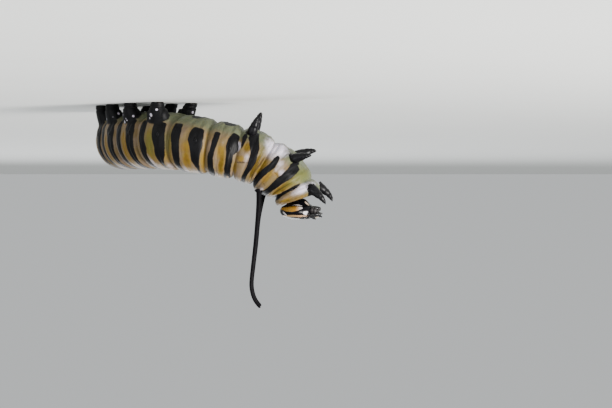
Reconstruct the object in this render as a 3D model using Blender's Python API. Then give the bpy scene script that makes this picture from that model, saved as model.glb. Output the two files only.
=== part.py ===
"""Monarch butterfly larva in its fifth instar, a still life-size model that stands on its prolegs with its front raised.

Sizes are in millimetres and angles in degrees; each mesh is made in metres. The head points to -X, the back to +Z,
the left flank to -Y at the front, and the rear half swings round to +Y. The feet rest on Z = 0.
"""

import math

import bmesh
import bpy
from mathutils import Matrix, Vector

MM = 0.001
GAP = 0.25

# The centreline, from the neck to the tail. Pitch is how far it drops towards the tail, yaw how far it has
# turned from +X to +Y, and roll how far the belly is turned to the left flank.
NECK = {"pitch": 72.0, "yaw": 0.0, "roll": 14.0, "radius": 1.74}
# name: length, radius at the middle, then pitch, yaw and roll at the rear joint
SEGMENTS = {
    "prothorax": (1.10, 2.05, 62.0, 0.0, 14.0),
    "mesothorax": (3.5, 2.46, 29.5, 0.0, 12.0),
    "metathorax": (2.5, 2.52, 13.0, 3.0, 9.0),
    "abdomen_1": (2.5, 2.60, 11.0, 14.0, 5.0),
    "abdomen_2": (3.1, 2.66, 7.0, 33.0, 1.0),
    "abdomen_3": (3.2, 2.70, 1.0, 50.0, 0.0),
    "abdomen_4": (3.2, 2.72, 0.0, 60.0, 0.0),
    "abdomen_5": (3.2, 2.72, 0.0, 72.0, 0.0),
    "abdomen_6": (3.1, 2.68, 0.0, 88.0, 0.0),
    "abdomen_7": (3.0, 2.56, 1.0, 106.0, 0.0),
    "abdomen_8": (2.8, 2.32, 4.0, 123.0, 0.0),
    "abdomen_9": (1.9, 1.98, 9.0, 136.0, 0.0),
    "abdomen_10": (2.0, 1.55, 13.0, 146.0, 0.0),
}
TAIL_RADIUS = 0.95
STANDING_HEIGHT = 3.35      # of the centreline at the joint behind abdomen_4
NECK_PLACE = (-7.91, -9.31)  # X and Y of the centreline at the neck

FOLD_DEPTH = 0.10           # of the fold between two segments, as a share of the radius
FOLD_WIDTH = 0.34
BELLY_FLATTENING = 0.05
FLANK_FOLD_ANGLE = 118.0    # from the middle of the back; the ridge under the breathing holes
FLANK_FOLD_RISE = 0.035
# Where the bent front swells or sinks: place, angle, half length, half angle, and the rise off the even skin.
SWELLINGS = (
    (0.45, 165.0, 0.75, 48.0, 0.55),
    (1.60, 165.0, 0.55, 45.0, 0.22),
    (1.00, 0.0, 0.80, 60.0, -0.30),
    (3.20, 0.0, 0.60, 62.0, 0.22),
)
BODY_SIDES = 32
STEP = 0.05

SKIN_BLACK = (0.012, 0.011, 0.013)
SKIN_YELLOW = (0.60, 0.36, 0.08)
SKIN_WHITE = (0.62, 0.58, 0.55)


def lerp(a, b, t):
    return a + (b - a) * t


def smooth(t):
    t = min(max(t, 0.0), 1.0)
    return t * t * (3.0 - 2.0 * t)


def along(table, s):
    """The value at s of a table of (s, value) pairs, in straight steps."""
    if s <= table[0][0]:
        return table[0][1]
    for (s0, v0), (s1, v1) in zip(table, table[1:]):
        if s <= s1:
            return lerp(v0, v1, (s - s0) / (s1 - s0))
    return table[-1][1]


class Body:
    """The larva's centreline and the skin round it: s runs from the neck to the tail, and an angle round the body
    starts at the middle of the back and grows down the left flank to the belly."""

    def __init__(self):
        self.start = {}
        joints = [0.0]
        pitch, yaw, roll = ([(0.0, NECK[key])] for key in ("pitch", "yaw", "roll"))
        radius = [(0.0, NECK["radius"])]
        for name, (length, middle_radius, rear_pitch, rear_yaw, rear_roll) in SEGMENTS.items():
            self.start[name] = joints[-1]
            radius.append((joints[-1] + length / 2, middle_radius))
            joints.append(joints[-1] + length)
            pitch.append((joints[-1], rear_pitch))
            yaw.append((joints[-1], rear_yaw))
            roll.append((joints[-1], rear_roll))
        radius.append((joints[-1], TAIL_RADIUS))
        self.joints = joints
        self.pitch, self.yaw, self.roll, self.radius = pitch, yaw, roll, radius
        self.points = self.walk()

    def direction(self, s):
        pitch = math.radians(along(self.pitch, s))
        yaw = math.radians(along(self.yaw, s))
        return Vector((math.cos(yaw) * math.cos(pitch), math.sin(yaw) * math.cos(pitch), -math.sin(pitch)))

    def walk(self):
        """Points every STEP along the centreline, set over the floor."""
        points = [Vector((NECK_PLACE[0], NECK_PLACE[1], 0.0))]
        count = math.ceil(self.joints[-1] / STEP)
        for i in range(count):
            points.append(points[-1] + self.direction((i + 0.5) * STEP) * STEP)
        standing_joint = self.start["abdomen_5"]
        rise = STANDING_HEIGHT - points[round(standing_joint / STEP)].z
        return [p + Vector((0.0, 0.0, rise)) for p in points]

    def centre(self, s):
        if s < 0.0:
            return self.points[0] + self.direction(0.0) * s
        i = min(int(s / STEP), len(self.points) - 2)
        return self.points[i].lerp(self.points[i + 1], s / STEP - i)

    def axes(self, s):
        """Unit vectors to the tail, the back and the left flank."""
        tail = self.direction(s)
        left = tail.cross(Vector((0.0, 0.0, 1.0))).normalized()
        back = left.cross(tail)
        roll = math.radians(along(self.roll, s))
        return (
            tail,
            back * math.cos(roll) - left * math.sin(roll),
            left * math.cos(roll) + back * math.sin(roll),
        )

    def reach(self, s, angle):
        """From the centreline to the skin, with the folds between segments and the ridge along each flank."""
        radius = along(self.radius, s)
        nearest = min(abs(s - joint) for joint in self.joints[1:-1])
        fold = FOLD_DEPTH * math.exp(-((nearest / FOLD_WIDTH) ** 2))
        turned = abs((angle + 180.0) % 360.0 - 180.0)
        belly = BELLY_FLATTENING * smooth((turned - 120.0) / 60.0)
        ridge = FLANK_FOLD_RISE * math.exp(-(((turned - FLANK_FOLD_ANGLE) / 14.0) ** 2))
        swelling = sum(
            rise * math.exp(-(((s - place) / half_length) ** 2) - ((turned - around) / half_angle) ** 2)
            for place, around, half_length, half_angle, rise in SWELLINGS
        )
        return radius * (1.0 - fold - belly + ridge) + swelling

    def skin(self, s, angle, lift=0.0):
        """The point of the skin there, or lifted off it."""
        _, back, left = self.axes(s)
        turn = math.radians(angle)
        out = back * math.cos(turn) + left * math.sin(turn)
        return self.centre(s) + out * (self.reach(s, angle) + lift)

    def ring(self, s, share=1.0):
        return [
            self.centre(s).lerp(self.skin(s, 360.0 * i / BODY_SIDES), share)
            for i in range(BODY_SIDES)
        ]


def material(name, colour, roughness):
    made = bpy.data.materials.new(name)
    made.use_nodes = True
    shader = made.node_tree.nodes["Principled BSDF"]
    shader.inputs["Base Color"].default_value = (*colour, 1.0)
    shader.inputs["Roughness"].default_value = roughness
    shader.inputs["Metallic"].default_value = 0.0
    return made


def loft(name, rings, finish, front_pole=None, rear_pole=None):
    """One closed object through rings of equal count. Each end is closed to its pole, or else to its own middle."""
    mesh = bpy.data.meshes.new(name)
    bm = bmesh.new()
    loops = [[bm.verts.new(p * MM) for p in ring] for ring in rings]
    count = len(loops[0])
    for a, b in zip(loops, loops[1:]):
        for i in range(count):
            j = (i + 1) % count
            bm.faces.new((a[i], a[j], b[j], b[i]))
    for loop, ring, pole in ((loops[0], rings[0], front_pole), (loops[-1], rings[-1], rear_pole)):
        middle = pole if pole is not None else sum(ring, Vector()) / count
        tip = bm.verts.new(middle * MM)
        for i in range(count):
            bm.faces.new((loop[i], loop[(i + 1) % count], tip))
    bmesh.ops.recalc_face_normals(bm, faces=bm.faces)
    bmesh.ops.triangulate(bm, faces=bm.faces)
    bm.to_mesh(mesh)
    bm.free()
    mesh.shade_smooth()
    mesh.set_sharp_from_angle(angle=math.radians(40.0))
    mesh.materials.append(finish)
    made = bpy.data.objects.new(name, mesh)
    bpy.context.scene.collection.objects.link(made)
    return made


def circle(centre, direction, radius, sides, towards, squash=1.0):
    """A ring of points round centre; the first lies towards that vector, and squash is the size across it."""
    axis = direction.normalized()
    first = (towards - axis * towards.dot(axis)).normalized()
    second = axis.cross(first)
    ring = []
    for i in range(sides):
        turn = 2.0 * math.pi * i / sides
        ring.append(centre + first * (radius * math.cos(turn)) + second * (radius * squash * math.sin(turn)))
    return ring


RING_PLACES = (0.0, 0.06, 0.15, 0.30, 0.50, 0.70, 0.85, 0.94, 1.0)


def build_segment(body, name, finish):
    length = SEGMENTS[name][0]
    start = body.start[name] + GAP / 2
    rings = [body.ring(start + (length - GAP) * place) for place in RING_PLACES]
    return loft(name, rings, finish)


def build_tail(body, finish):
    """The last segment, rounded off to a blunt end."""
    start = body.start["abdomen_10"] + GAP / 2
    length = SEGMENTS["abdomen_10"][0] - GAP / 2
    rings = []
    for i in range(9):
        turn = math.radians(90.0 * i / 9)
        share = 1.0 if i < 3 else math.cos((turn - math.radians(20.0)) * 90.0 / 70.0)
        rings.append(body.ring(start + length * math.sin(turn), max(share, 0.05)))
    return loft("abdomen_10", rings, finish, rear_pole=body.centre(start + length))


def root_ring(body, s, angle, half_length, half_width, sides):
    """A ring that lies over the skin at the distance of the gap, as the root of what grows there."""
    around = math.degrees(half_width / body.reach(s, angle))
    ring = []
    for i in range(sides):
        turn = 2.0 * math.pi * i / sides
        ring.append(body.skin(s + half_length * math.cos(turn), angle + around * math.sin(turn), GAP))
    return ring


# Prolegs: the foot's centre lies outside the root by SPREAD, and the sole is flat on the floor.
PROLEG_SEGMENTS = ("abdomen_3", "abdomen_4", "abdomen_5", "abdomen_6")
PROLEG_ANGLE = 138.0
PROLEG_PLACE = 0.44
PROLEG_REACH = 0.35         # of the foot towards the head
PROLEG_ROOT = (0.92, 0.80)
PROLEG_RINGS = ((0.55, 0.72), (0.25, 0.60), (0.08, 0.56), (0.0, 0.46))  # height of the ring, radius
PROLEG_SPREAD = 0.35
PROLEG_SIDES = 16
CLASPER_ANGLE = 133.0
CLASPER_PLACE = 0.45        # share of the last segment's length
CLASPER_ROOT = (0.84, 0.74)


def build_foot(body, name, s, angle, root, finish):
    """A fleshy leg from the skin down to a flat sole on the floor."""
    first = root_ring(body, s, angle, *root, PROLEG_SIDES)
    top = sum(first, Vector()) / PROLEG_SIDES
    tail, _, left = body.axes(s)
    outwards = left if angle < 180.0 else -left
    outwards = Vector((outwards.x, outwards.y, 0.0)).normalized()
    down = Vector((0.0, 0.0, -1.0))
    forwards = -Vector((tail.x, tail.y, 0.0)).normalized()
    sole = Vector((top.x, top.y, 0.0)) + outwards * PROLEG_SPREAD + forwards * PROLEG_REACH
    scale = (root[0] + root[1]) / (PROLEG_ROOT[0] + PROLEG_ROOT[1])
    rings = [first]
    for height, radius in PROLEG_RINGS:
        centre = top.lerp(sole, 1.0 - height)
        centre.z = height * min(1.0, top.z)
        ring = circle(centre, down, radius * scale, PROLEG_SIDES, tail)
        if (ring[1] - ring[0]).dot(first[1] - first[0]) < 0.0:
            ring = [ring[-i % PROLEG_SIDES] for i in range(PROLEG_SIDES)]
        rings.append(ring)
    return loft(name, rings, finish, front_pole=body.skin(s, angle, GAP))


# Thoracic legs: where each pair grows, then how its tip lies from the root along the body's own
# forward, down and outward directions.
LEG_PAIRS = {
    "prothorax": {"place": 0.30, "angle": 148.0, "tip": (1.62, 0.68, 0.10)},
    "mesothorax": {"place": 0.50, "angle": 152.0, "tip": (0.85, 1.38, 0.25)},
    "metathorax": {"place": 0.72, "angle": 152.0, "tip": (0.10, 1.55, 0.30)},
}
LEG_ROOT = (0.50, 0.44)
LEG_RINGS = (  # share of the leg's length, radius, how far it bows outwards
    (0.16, 0.42, 0.05),
    (0.34, 0.36, 0.12),
    (0.42, 0.30, 0.14),
    (0.60, 0.30, 0.14),
    (0.68, 0.25, 0.11),
    (0.84, 0.24, 0.05),
    (0.93, 0.14, 0.01),
)
LEG_SIDES = 12


def build_leg(body, name, segment, side, finish):
    pair = LEG_PAIRS[segment]
    s = body.start[segment] + SEGMENTS[segment][0] * pair["place"]
    angle = pair["angle"] * side
    first = root_ring(body, s, angle, *LEG_ROOT, LEG_SIDES)
    root = body.skin(s, angle, GAP)
    tail, back, left = body.axes(s)
    forward, down, out = pair["tip"]
    tip = root - tail * forward - back * down + left * (out * side)
    run = tip - root
    rings = [first]
    for share, radius, bow in LEG_RINGS:
        centre = root + run * share + left * (bow * side) - back * bow
        ring = circle(centre, run, radius, LEG_SIDES, tail)
        if (ring[1] - ring[0]).dot(first[1] - first[0]) < 0.0:
            ring = [ring[-i % LEG_SIDES] for i in range(LEG_SIDES)]
        rings.append(ring)
    return loft(name, rings, finish, front_pole=root, rear_pole=tip)


# Filaments: the base on the skin, then the way from it as (rise, towards the tail, outwards) steps,
# and the radius from root to tip. Both of a pair lean alike, to one path seen from the flank.
FILAMENTS = {
    "front": {
        "segment": "mesothorax",
        "place": 0.50,
        "angle": 36.0,
        "base_radius": 0.33,
        "tip_radius": 0.12,
        "path": ((0.0, 0.0, 0.0), (0.9, 0.02, 0.1), (2.4, 0.12, 0.25), (4.6, 0.32, 0.45), (6.6, 0.55, 0.6),
                 (8.1, 0.70, 0.68), (9.0, 0.60, 0.7), (9.7, 0.33, 0.72), (10.3, -0.14, 0.74)),
    },
    "rear": {
        "segment": "abdomen_8",
        "place": 0.38,
        "angle": 39.0,
        "base_radius": 0.32,
        "tip_radius": 0.13,
        "path": ((0.0, 0.0, 0.0), (0.30, 0.30, 0.15), (0.37, 1.1, 0.30), (0.32, 2.1, 0.42), (0.10, 3.3, 0.60)),
    },
}
FILAMENT_LEAN_DONE = 1.6     # rise by which the right one has come to the left one's path
FILAMENT_SIDES = 10
FILAMENT_STEPS = 3          # rings for each stretch between two points of the path


def curve_point(points, t):
    """A smooth curve through the points, at t from 0 to 1."""
    place = t * (len(points) - 1)
    i = min(int(place), len(points) - 2)
    u = place - i
    p0 = points[max(i - 1, 0)]
    p1, p2 = points[i], points[i + 1]
    p3 = points[min(i + 2, len(points) - 1)]
    return 0.5 * (
        2.0 * p1
        + (p2 - p0) * u
        + (2.0 * p0 - 5.0 * p1 + 4.0 * p2 - p3) * u**2
        + (3.0 * p1 - p0 - 3.0 * p2 + p3) * u**3
    )


def build_filament(body, name, kind, side, finish):
    facts = FILAMENTS[kind]
    s = body.start[facts["segment"]] + SEGMENTS[facts["segment"]][0] * facts["place"]
    angle = facts["angle"] * side
    base = body.skin(s, angle, GAP)
    tail = body.axes(s)[0]
    up = Vector((0.0, 0.0, 1.0))
    rearward = Vector((tail.x, tail.y, 0.0)).normalized()
    outward = rearward.cross(up) * side
    lean = body.skin(s, facts["angle"], GAP) - base
    lean = lean - outward * lean.dot(outward)
    points = [
        base + up * rise + rearward * behind + outward * out + lean * smooth(rise / FILAMENT_LEAN_DONE)
        for rise, behind, out in facts["path"]
    ]
    first = root_ring(body, s, angle, facts["base_radius"], facts["base_radius"], FILAMENT_SIDES)
    rings = [first]
    count = (len(points) - 1) * FILAMENT_STEPS
    for k in range(1, count):
        t = k / count
        here = curve_point(points, t)
        ahead = curve_point(points, min(t + 0.01, 1.0)) - curve_point(points, max(t - 0.01, 0.0))
        radius = max(lerp(facts["base_radius"], 0.20, t), 0.25)
        radius = lerp(radius, facts["tip_radius"], smooth((t - 0.72) / 0.28))
        ring = circle(here, ahead, radius, FILAMENT_SIDES, ahead.cross(outward) * side)
        if (ring[1] - ring[0]).dot(first[1] - first[0]) < 0.0:
            ring = [ring[-i % FILAMENT_SIDES] for i in range(FILAMENT_SIDES)]
        rings.append(ring)
    return loft(name, rings, finish, front_pole=base, rear_pole=points[-1])


# Head: rings from the back of the head to the face, as (depth, half width, to the crown, to the jaw), in axes
# that look along the neck and are tilted from it. The mouth lies on the belly side.
HEAD_RINGS = (
    (0.00, 1.24, 1.24, 0.98),
    (0.14, 1.48, 1.56, 1.20),
    (0.34, 1.63, 1.73, 1.36),
    (0.59, 1.66, 1.77, 1.43),
    (0.82, 1.57, 1.69, 1.41),
    (1.04, 1.37, 1.49, 1.31),
    (1.21, 1.06, 1.18, 1.12),
    (1.32, 0.68, 0.78, 0.83),
    (1.38, 0.34, 0.40, 0.46),
)
HEAD_DEPTH = 1.40
HEAD_SIDES = 32
HEAD_TILT = -17.0
HEAD_SET = 0.36             # of the head's back ring in front of the neck
HEAD_DROP = 0.22            # of the head towards the mouth
CROWN_NOTCH = 0.07
CROWN_NOTCH_WIDTH = 0.16
JAW_NARROWING = 0.18

# Small parts of the mouth, each a rounded block: centre and half sizes as (to the left, to the crown, to the face).
MOUTH_PARTS = {
    "upper_lip": ((0.0, -1.58, 1.34), (0.46, 0.27, 0.20)),
    "mandible_left": ((0.42, -1.86, 0.82), (0.34, 0.24, 0.24)),
    "mandible_right": ((-0.42, -1.86, 0.82), (0.34, 0.24, 0.24)),
    "lower_lip": ((0.0, -1.84, 0.22), (0.60, 0.32, 0.20)),
}
BLOCK_POWER = 0.75
ANTENNA_ROOT = (1.00, -1.30, 0.94)
ANTENNA_RUN = (0.30, -0.50, 0.34)
ANTENNA_RADII = ((0.0, 0.26), (0.36, 0.25), (0.42, 0.25), (0.75, 0.25), (0.80, 0.16))


class Head:
    """The head's own axes, and points given in them."""

    def __init__(self, body):
        tail, back, left = body.axes(0.0)
        turn = Matrix.Rotation(math.radians(HEAD_TILT), 3, left)
        self.face, self.crown, self.left = turn @ -tail, turn @ back, left
        self.origin = body.centre(-HEAD_SET) - self.crown * HEAD_DROP

    def at(self, left, crown, face):
        return self.origin + self.left * left + self.crown * crown + self.face * face

    def surface(self, depth, angle):
        """On the capsule, with the angle grown from the crown down the left side."""
        width, up, down = (
            along([(row[0], row[k]) for row in HEAD_RINGS], depth)
            for k in (1, 2, 3)
        )
        turn = math.radians(angle)
        high, side = math.cos(turn), math.sin(turn)
        notch = 1.0 - CROWN_NOTCH * math.exp(-((side / CROWN_NOTCH_WIDTH) ** 2)) * (high > 0.0)
        narrow = 1.0 - JAW_NARROWING * smooth(-high)
        return self.at(side * width * narrow, high * (up if high > 0.0 else down) * notch, depth)

    def ring(self, depth):
        return [self.surface(depth, 360.0 * i / HEAD_SIDES) for i in range(HEAD_SIDES)]


def build_head(head, finish):
    rings = [head.ring(row[0]) for row in HEAD_RINGS]
    return loft("head", rings, finish, rear_pole=head.at(0.0, 0.0, HEAD_DEPTH))


def build_block(head, name, centre, half, finish):
    """A rounded block in the head's axes, its rings laid from the crown side to the jaw side."""
    rings = []
    sides, layers = 14, 7
    for k in range(1, layers):
        turn = math.pi * k / layers
        level, share = math.cos(turn), math.sin(turn) ** BLOCK_POWER
        ring = []
        for i in range(sides):
            around = 2.0 * math.pi * i / sides
            ring.append(head.at(
                centre[0] + half[0] * share * math.cos(around),
                centre[1] + half[1] * level,
                centre[2] + half[2] * share * math.sin(around),
            ))
        rings.append(ring)
    poles = [head.at(centre[0], centre[1] + half[1] * end, centre[2]) for end in (1.0, -1.0)]
    return loft(name, rings, finish, front_pole=poles[0], rear_pole=poles[1])


def build_antenna(head, name, side, finish):
    root = head.at(ANTENNA_ROOT[0] * side, *ANTENNA_ROOT[1:])
    tip = head.at((ANTENNA_ROOT[0] + ANTENNA_RUN[0]) * side, *(a + b for a, b in zip(ANTENNA_ROOT[1:], ANTENNA_RUN[1:])))
    rings = [
        circle(root.lerp(tip, share), tip - root, radius, LEG_SIDES, head.crown)
        for share, radius in ANTENNA_RADII
    ]
    return loft(name, rings, finish, rear_pole=tip)


def clear_scene():
    for old in list(bpy.data.objects):
        bpy.data.objects.remove(old, do_unlink=True)


def main():
    clear_scene()
    body = Body()
    banded = material("banded_skin", SKIN_YELLOW, 0.45)
    black = material("black_cuticle", SKIN_BLACK, 0.30)
    flesh = material("proleg_flesh", SKIN_BLACK, 0.50)
    pale = material("pale_lip", SKIN_WHITE, 0.40)
    head = Head(body)
    build_head(head, black)
    for name, (centre, half) in MOUTH_PARTS.items():
        build_block(head, name, centre, half, pale if name == "upper_lip" else black)
    for name in SEGMENTS:
        if name == "abdomen_10":
            build_tail(body, banded)
        else:
            build_segment(body, name, banded)
    for side_name, side in (("left", 1), ("right", -1)):
        build_antenna(head, f"antenna_{side_name}", side, black)
        for segment in LEG_PAIRS:
            build_leg(body, f"leg_{segment}_{side_name}", segment, side, black)
        for segment in PROLEG_SEGMENTS:
            middle = body.start[segment] + SEGMENTS[segment][0] * PROLEG_PLACE
            number = segment.split("_")[1]
            build_foot(body, f"proleg_{number}_{side_name}", middle, PROLEG_ANGLE * side, PROLEG_ROOT, flesh)
        place = body.start["abdomen_10"] + SEGMENTS["abdomen_10"][0] * CLASPER_PLACE
        build_foot(body, f"anal_proleg_{side_name}", place, CLASPER_ANGLE * side, CLASPER_ROOT, flesh)
        for kind in FILAMENTS:
            build_filament(body, f"filament_{kind}_{side_name}", kind, side, black)


main()
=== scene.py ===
"""Monarch larva in its fifth instar, life size, standing on a pale floor with its front raised.

Lengths in this file are millimetres until a mesh is made, and angles are degrees. The body is worked out
along one centreline from the neck to the tail; an angle round the body starts at the middle of the back and
grows down the left flank to the belly.
"""

import math

import bmesh
import bpy
import numpy as np
from mathutils import Matrix, Vector


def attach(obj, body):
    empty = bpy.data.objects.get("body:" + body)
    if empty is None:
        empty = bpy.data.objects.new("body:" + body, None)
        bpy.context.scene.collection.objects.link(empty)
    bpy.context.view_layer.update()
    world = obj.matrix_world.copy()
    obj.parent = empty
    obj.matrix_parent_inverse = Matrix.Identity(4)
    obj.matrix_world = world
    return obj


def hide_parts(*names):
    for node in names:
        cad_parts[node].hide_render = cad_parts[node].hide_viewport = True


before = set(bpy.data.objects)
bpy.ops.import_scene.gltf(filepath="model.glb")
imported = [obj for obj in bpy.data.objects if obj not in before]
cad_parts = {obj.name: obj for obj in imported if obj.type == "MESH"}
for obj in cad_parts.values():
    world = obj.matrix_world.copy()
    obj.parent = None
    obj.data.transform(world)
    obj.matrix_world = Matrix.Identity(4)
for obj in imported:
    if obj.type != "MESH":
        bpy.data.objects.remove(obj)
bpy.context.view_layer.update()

MM = 0.001

# The centreline, as in the solids: pitch is the drop towards the tail, yaw the turn from +X to +Y, and roll
# the turn of the belly to the left flank.
NECK = {"pitch": 72.0, "yaw": 0.0, "roll": 14.0, "radius": 1.74}
SEGMENTS = {  # name: length, radius at the middle, then pitch, yaw and roll at the rear joint
    "prothorax": (1.10, 2.05, 62.0, 0.0, 14.0),
    "mesothorax": (3.5, 2.46, 29.5, 0.0, 12.0),
    "metathorax": (2.5, 2.52, 13.0, 3.0, 9.0),
    "abdomen_1": (2.5, 2.60, 11.0, 14.0, 5.0),
    "abdomen_2": (3.1, 2.66, 7.0, 33.0, 1.0),
    "abdomen_3": (3.2, 2.70, 1.0, 50.0, 0.0),
    "abdomen_4": (3.2, 2.72, 0.0, 60.0, 0.0),
    "abdomen_5": (3.2, 2.72, 0.0, 72.0, 0.0),
    "abdomen_6": (3.1, 2.68, 0.0, 88.0, 0.0),
    "abdomen_7": (3.0, 2.56, 1.0, 106.0, 0.0),
    "abdomen_8": (2.8, 2.32, 4.0, 123.0, 0.0),
    "abdomen_9": (1.9, 1.98, 9.0, 136.0, 0.0),
    "abdomen_10": (2.0, 1.55, 13.0, 146.0, 0.0),
}
TAIL_RADIUS = 0.95
STANDING_HEIGHT = 3.35
NECK_PLACE = (-7.91, -9.31)
STEP = 0.05

FOLD_DEPTH, FOLD_WIDTH = 0.10, 0.34
CREASE_DEPTH, CREASE_WIDTH = 0.055, 0.09
BELLY_FLATTENING, BELLY_FROM, BELLY_SPAN = 0.05, 120.0, 60.0
FLANK_FOLD_ANGLE, FLANK_FOLD_RISE, FLANK_FOLD_WIDTH = 118.0, 0.035, 14.0
# Where the bent front swells or sinks: s, angle, half length, half angle, and the rise off the even skin.
SWELLINGS = (
    (0.45, 165.0, 0.75, 48.0, 0.55),
    (1.60, 165.0, 0.55, 45.0, 0.22),
    (1.00, 0.0, 0.80, 60.0, -0.30),
    (3.20, 0.0, 0.60, 62.0, 0.22),
)


def smooth(t):
    t = np.clip(t, 0.0, 1.0)
    return t * t * (3.0 - 2.0 * t)


def hump(x, width):
    return np.exp(-((x / width) ** 2))


def unit(v):
    return v / np.linalg.norm(v, axis=-1, keepdims=True)


UP = np.array([0.0, 0.0, 1.0])
LEVEL = np.array([1.0, 1.0, 0.0])  # times a direction, its level part
LOCATE_AT_ONCE = 4000


class Body:
    """Centreline, frames and skin, all for arrays of s and angle."""

    def __init__(self):
        names = list(SEGMENTS)
        lengths = np.array([SEGMENTS[n][0] for n in names])
        self.joint = np.concatenate([[0.0], np.cumsum(lengths)])
        self.start = dict(zip(names, self.joint[:-1]))
        self.length = self.joint[-1]
        self.turns = {
            key: np.array([NECK[key]] + [SEGMENTS[n][k] for n in names])
            for key, k in (("pitch", 2), ("yaw", 3), ("roll", 4))
        }
        middles = (self.joint[:-1] + self.joint[1:]) / 2
        self.radius_s = np.concatenate([[0.0], middles, [self.length]])
        self.radius = np.array([NECK["radius"]] + [SEGMENTS[n][1] for n in names] + [TAIL_RADIUS])
        count = math.ceil(self.length / STEP)
        steps = self.direction((np.arange(count) + 0.5) * STEP) * STEP
        self.line_s = np.arange(count + 1) * STEP
        self.line = np.vstack([[0.0, 0.0, 0.0], np.cumsum(steps, axis=0)]) + [*NECK_PLACE, 0.0]
        standing = round(self.start["abdomen_5"] / STEP)
        self.line[:, 2] += STANDING_HEIGHT - self.line[standing, 2]

    def turn(self, key, s):
        return np.radians(np.interp(s, self.joint, self.turns[key]))

    def direction(self, s):
        pitch, yaw = self.turn("pitch", s), self.turn("yaw", s)
        return np.stack([np.cos(yaw) * np.cos(pitch), np.sin(yaw) * np.cos(pitch), -np.sin(pitch)], axis=-1)

    def centre(self, s):
        s = np.asarray(s, float)
        on_line = np.stack([np.interp(s, self.line_s, self.line[:, k]) for k in range(3)], axis=-1)
        return on_line + self.direction(s) * np.minimum(s, 0.0)[..., None]

    def axes(self, s):
        tail = self.direction(s)
        left = unit(np.cross(tail, UP))
        back = np.cross(left, tail)
        roll = self.turn("roll", s)[..., None]
        return tail, back * np.cos(roll) - left * np.sin(roll), left * np.cos(roll) + back * np.sin(roll)

    def reach(self, s, angle):
        """From the centreline to the skin, with the joints' folds, the belly and each flank's ridge."""
        gap = np.min(np.abs(np.asarray(s)[..., None] - self.joint[1:-1]), axis=-1)
        turned = np.abs((angle + 180.0) % 360.0 - 180.0)
        fold = FOLD_DEPTH * hump(gap, FOLD_WIDTH) + CREASE_DEPTH * hump(gap, CREASE_WIDTH)
        belly = BELLY_FLATTENING * smooth((turned - BELLY_FROM) / BELLY_SPAN)
        ridge = FLANK_FOLD_RISE * hump(turned - FLANK_FOLD_ANGLE, FLANK_FOLD_WIDTH)
        swelling = sum(
            rise * hump(s - place, half_length) * hump(turned - around, half_angle)
            for place, around, half_length, half_angle, rise in SWELLINGS
        )
        return np.interp(s, self.radius_s, self.radius) * (1.0 - fold - belly + ridge) + swelling

    def skin(self, s, angle, lift=0.0):
        s, angle = np.asarray(s, float), np.asarray(angle, float)
        _, back, left = self.axes(s)
        turn = np.radians(angle)[..., None]
        out = back * np.cos(turn) + left * np.sin(turn)
        return self.centre(s) + out * (self.reach(s, angle) + lift)[..., None]

    def locate(self, points):
        """The s and angle (-180 to 180) nearest to each point, and how far it stands off the skin."""
        s = np.empty(len(points))
        for k in range(0, len(points), LOCATE_AT_ONCE):
            part = points[k:k + LOCATE_AT_ONCE]
            nearest = np.argmin(((part[:, None, :] - self.line[None]) ** 2).sum(-1), axis=1)
            along = ((part - self.line[nearest]) * self.direction(self.line_s[nearest])).sum(-1)
            s[k:k + LOCATE_AT_ONCE] = np.clip(self.line_s[nearest] + along, 0.0, self.length)
        _, back, left = self.axes(s)
        off = points - self.centre(s)
        up, side = (off * back).sum(-1), (off * left).sum(-1)
        angle = np.degrees(np.arctan2(side, up))
        return s, angle, np.hypot(up, side) - self.reach(s, angle)


body = Body()


def place_in(segment, share):
    return body.start[segment] + SEGMENTS[segment][0] * share


# Annulets: the shallow rings across each segment, as (share of its length, depth).
ANNULETS = {
    "prothorax": ((0.45, 0.05),),
    "mesothorax": ((0.22, 0.035), (0.50, 0.060), (0.74, 0.035)),
    "metathorax": ((0.26, 0.040), (0.55, 0.060), (0.80, 0.035)),
    "abdomen_1": ((0.30, 0.035), (0.58, 0.045), (0.80, 0.030)),
}
ABDOMEN_ANNULETS = ((0.24, 0.032), (0.46, 0.022), (0.64, 0.030), (0.82, 0.022))
ANNULET_WIDTH, ANNULET_WANDER = 0.10, 0.05
# Puckers of the flank: their rise, the angle that they start from, and two waves, along and round the body.
PUCKER_RISE, PUCKER_FROM, PUCKER_SPAN = 0.028, 70.0, 40.0
PUCKER_WAVES = ((6.1, 1.7), (2.3, 9.0))
LEG_PAIRS = {  # segment: place along it, angle, tip forwards, down and out
    "prothorax": (0.30, 148.0, (1.62, 0.68, 0.10)),
    "mesothorax": (0.50, 152.0, (0.85, 1.38, 0.25)),
    "metathorax": (0.72, 152.0, (0.10, 1.55, 0.30)),
}
COXA_RISE, COXA_WIDTH, COXA_FLANK = 0.22, 0.62, 2.4
PROLEG_SEGMENTS = ("abdomen_3", "abdomen_4", "abdomen_5", "abdomen_6")
PROLEG_ANGLE, PROLEG_PLACE, PROLEG_SPREAD, PROLEG_REACH = 138.0, 0.44, 0.35, 0.35
CLASPER_ANGLE, CLASPER_PLACE = 133.0, 0.45
PROLEG_ROOT, CLASPER_ROOT = (0.92, 0.80), (0.84, 0.74)
PROLEG_SWELL, PROLEG_SWELL_WIDTH, PROLEG_FLANK = 0.05, 1.35, 2.5
GAP = 0.25
SIDES = (("left", 1.0), ("right", -1.0))


def feet():
    """Each proleg as (name, s, angle, root half sizes)."""
    found = []
    for word, side in SIDES:
        for segment in PROLEG_SEGMENTS:
            found.append((f"proleg_{segment.split('_')[1]}_{word}", place_in(segment, PROLEG_PLACE),
                          PROLEG_ANGLE * side, PROLEG_ROOT))
        place = place_in("abdomen_10", CLASPER_PLACE)
        found.append((f"anal_proleg_{word}", place, CLASPER_ANGLE * side, CLASPER_ROOT))
    return found


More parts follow.
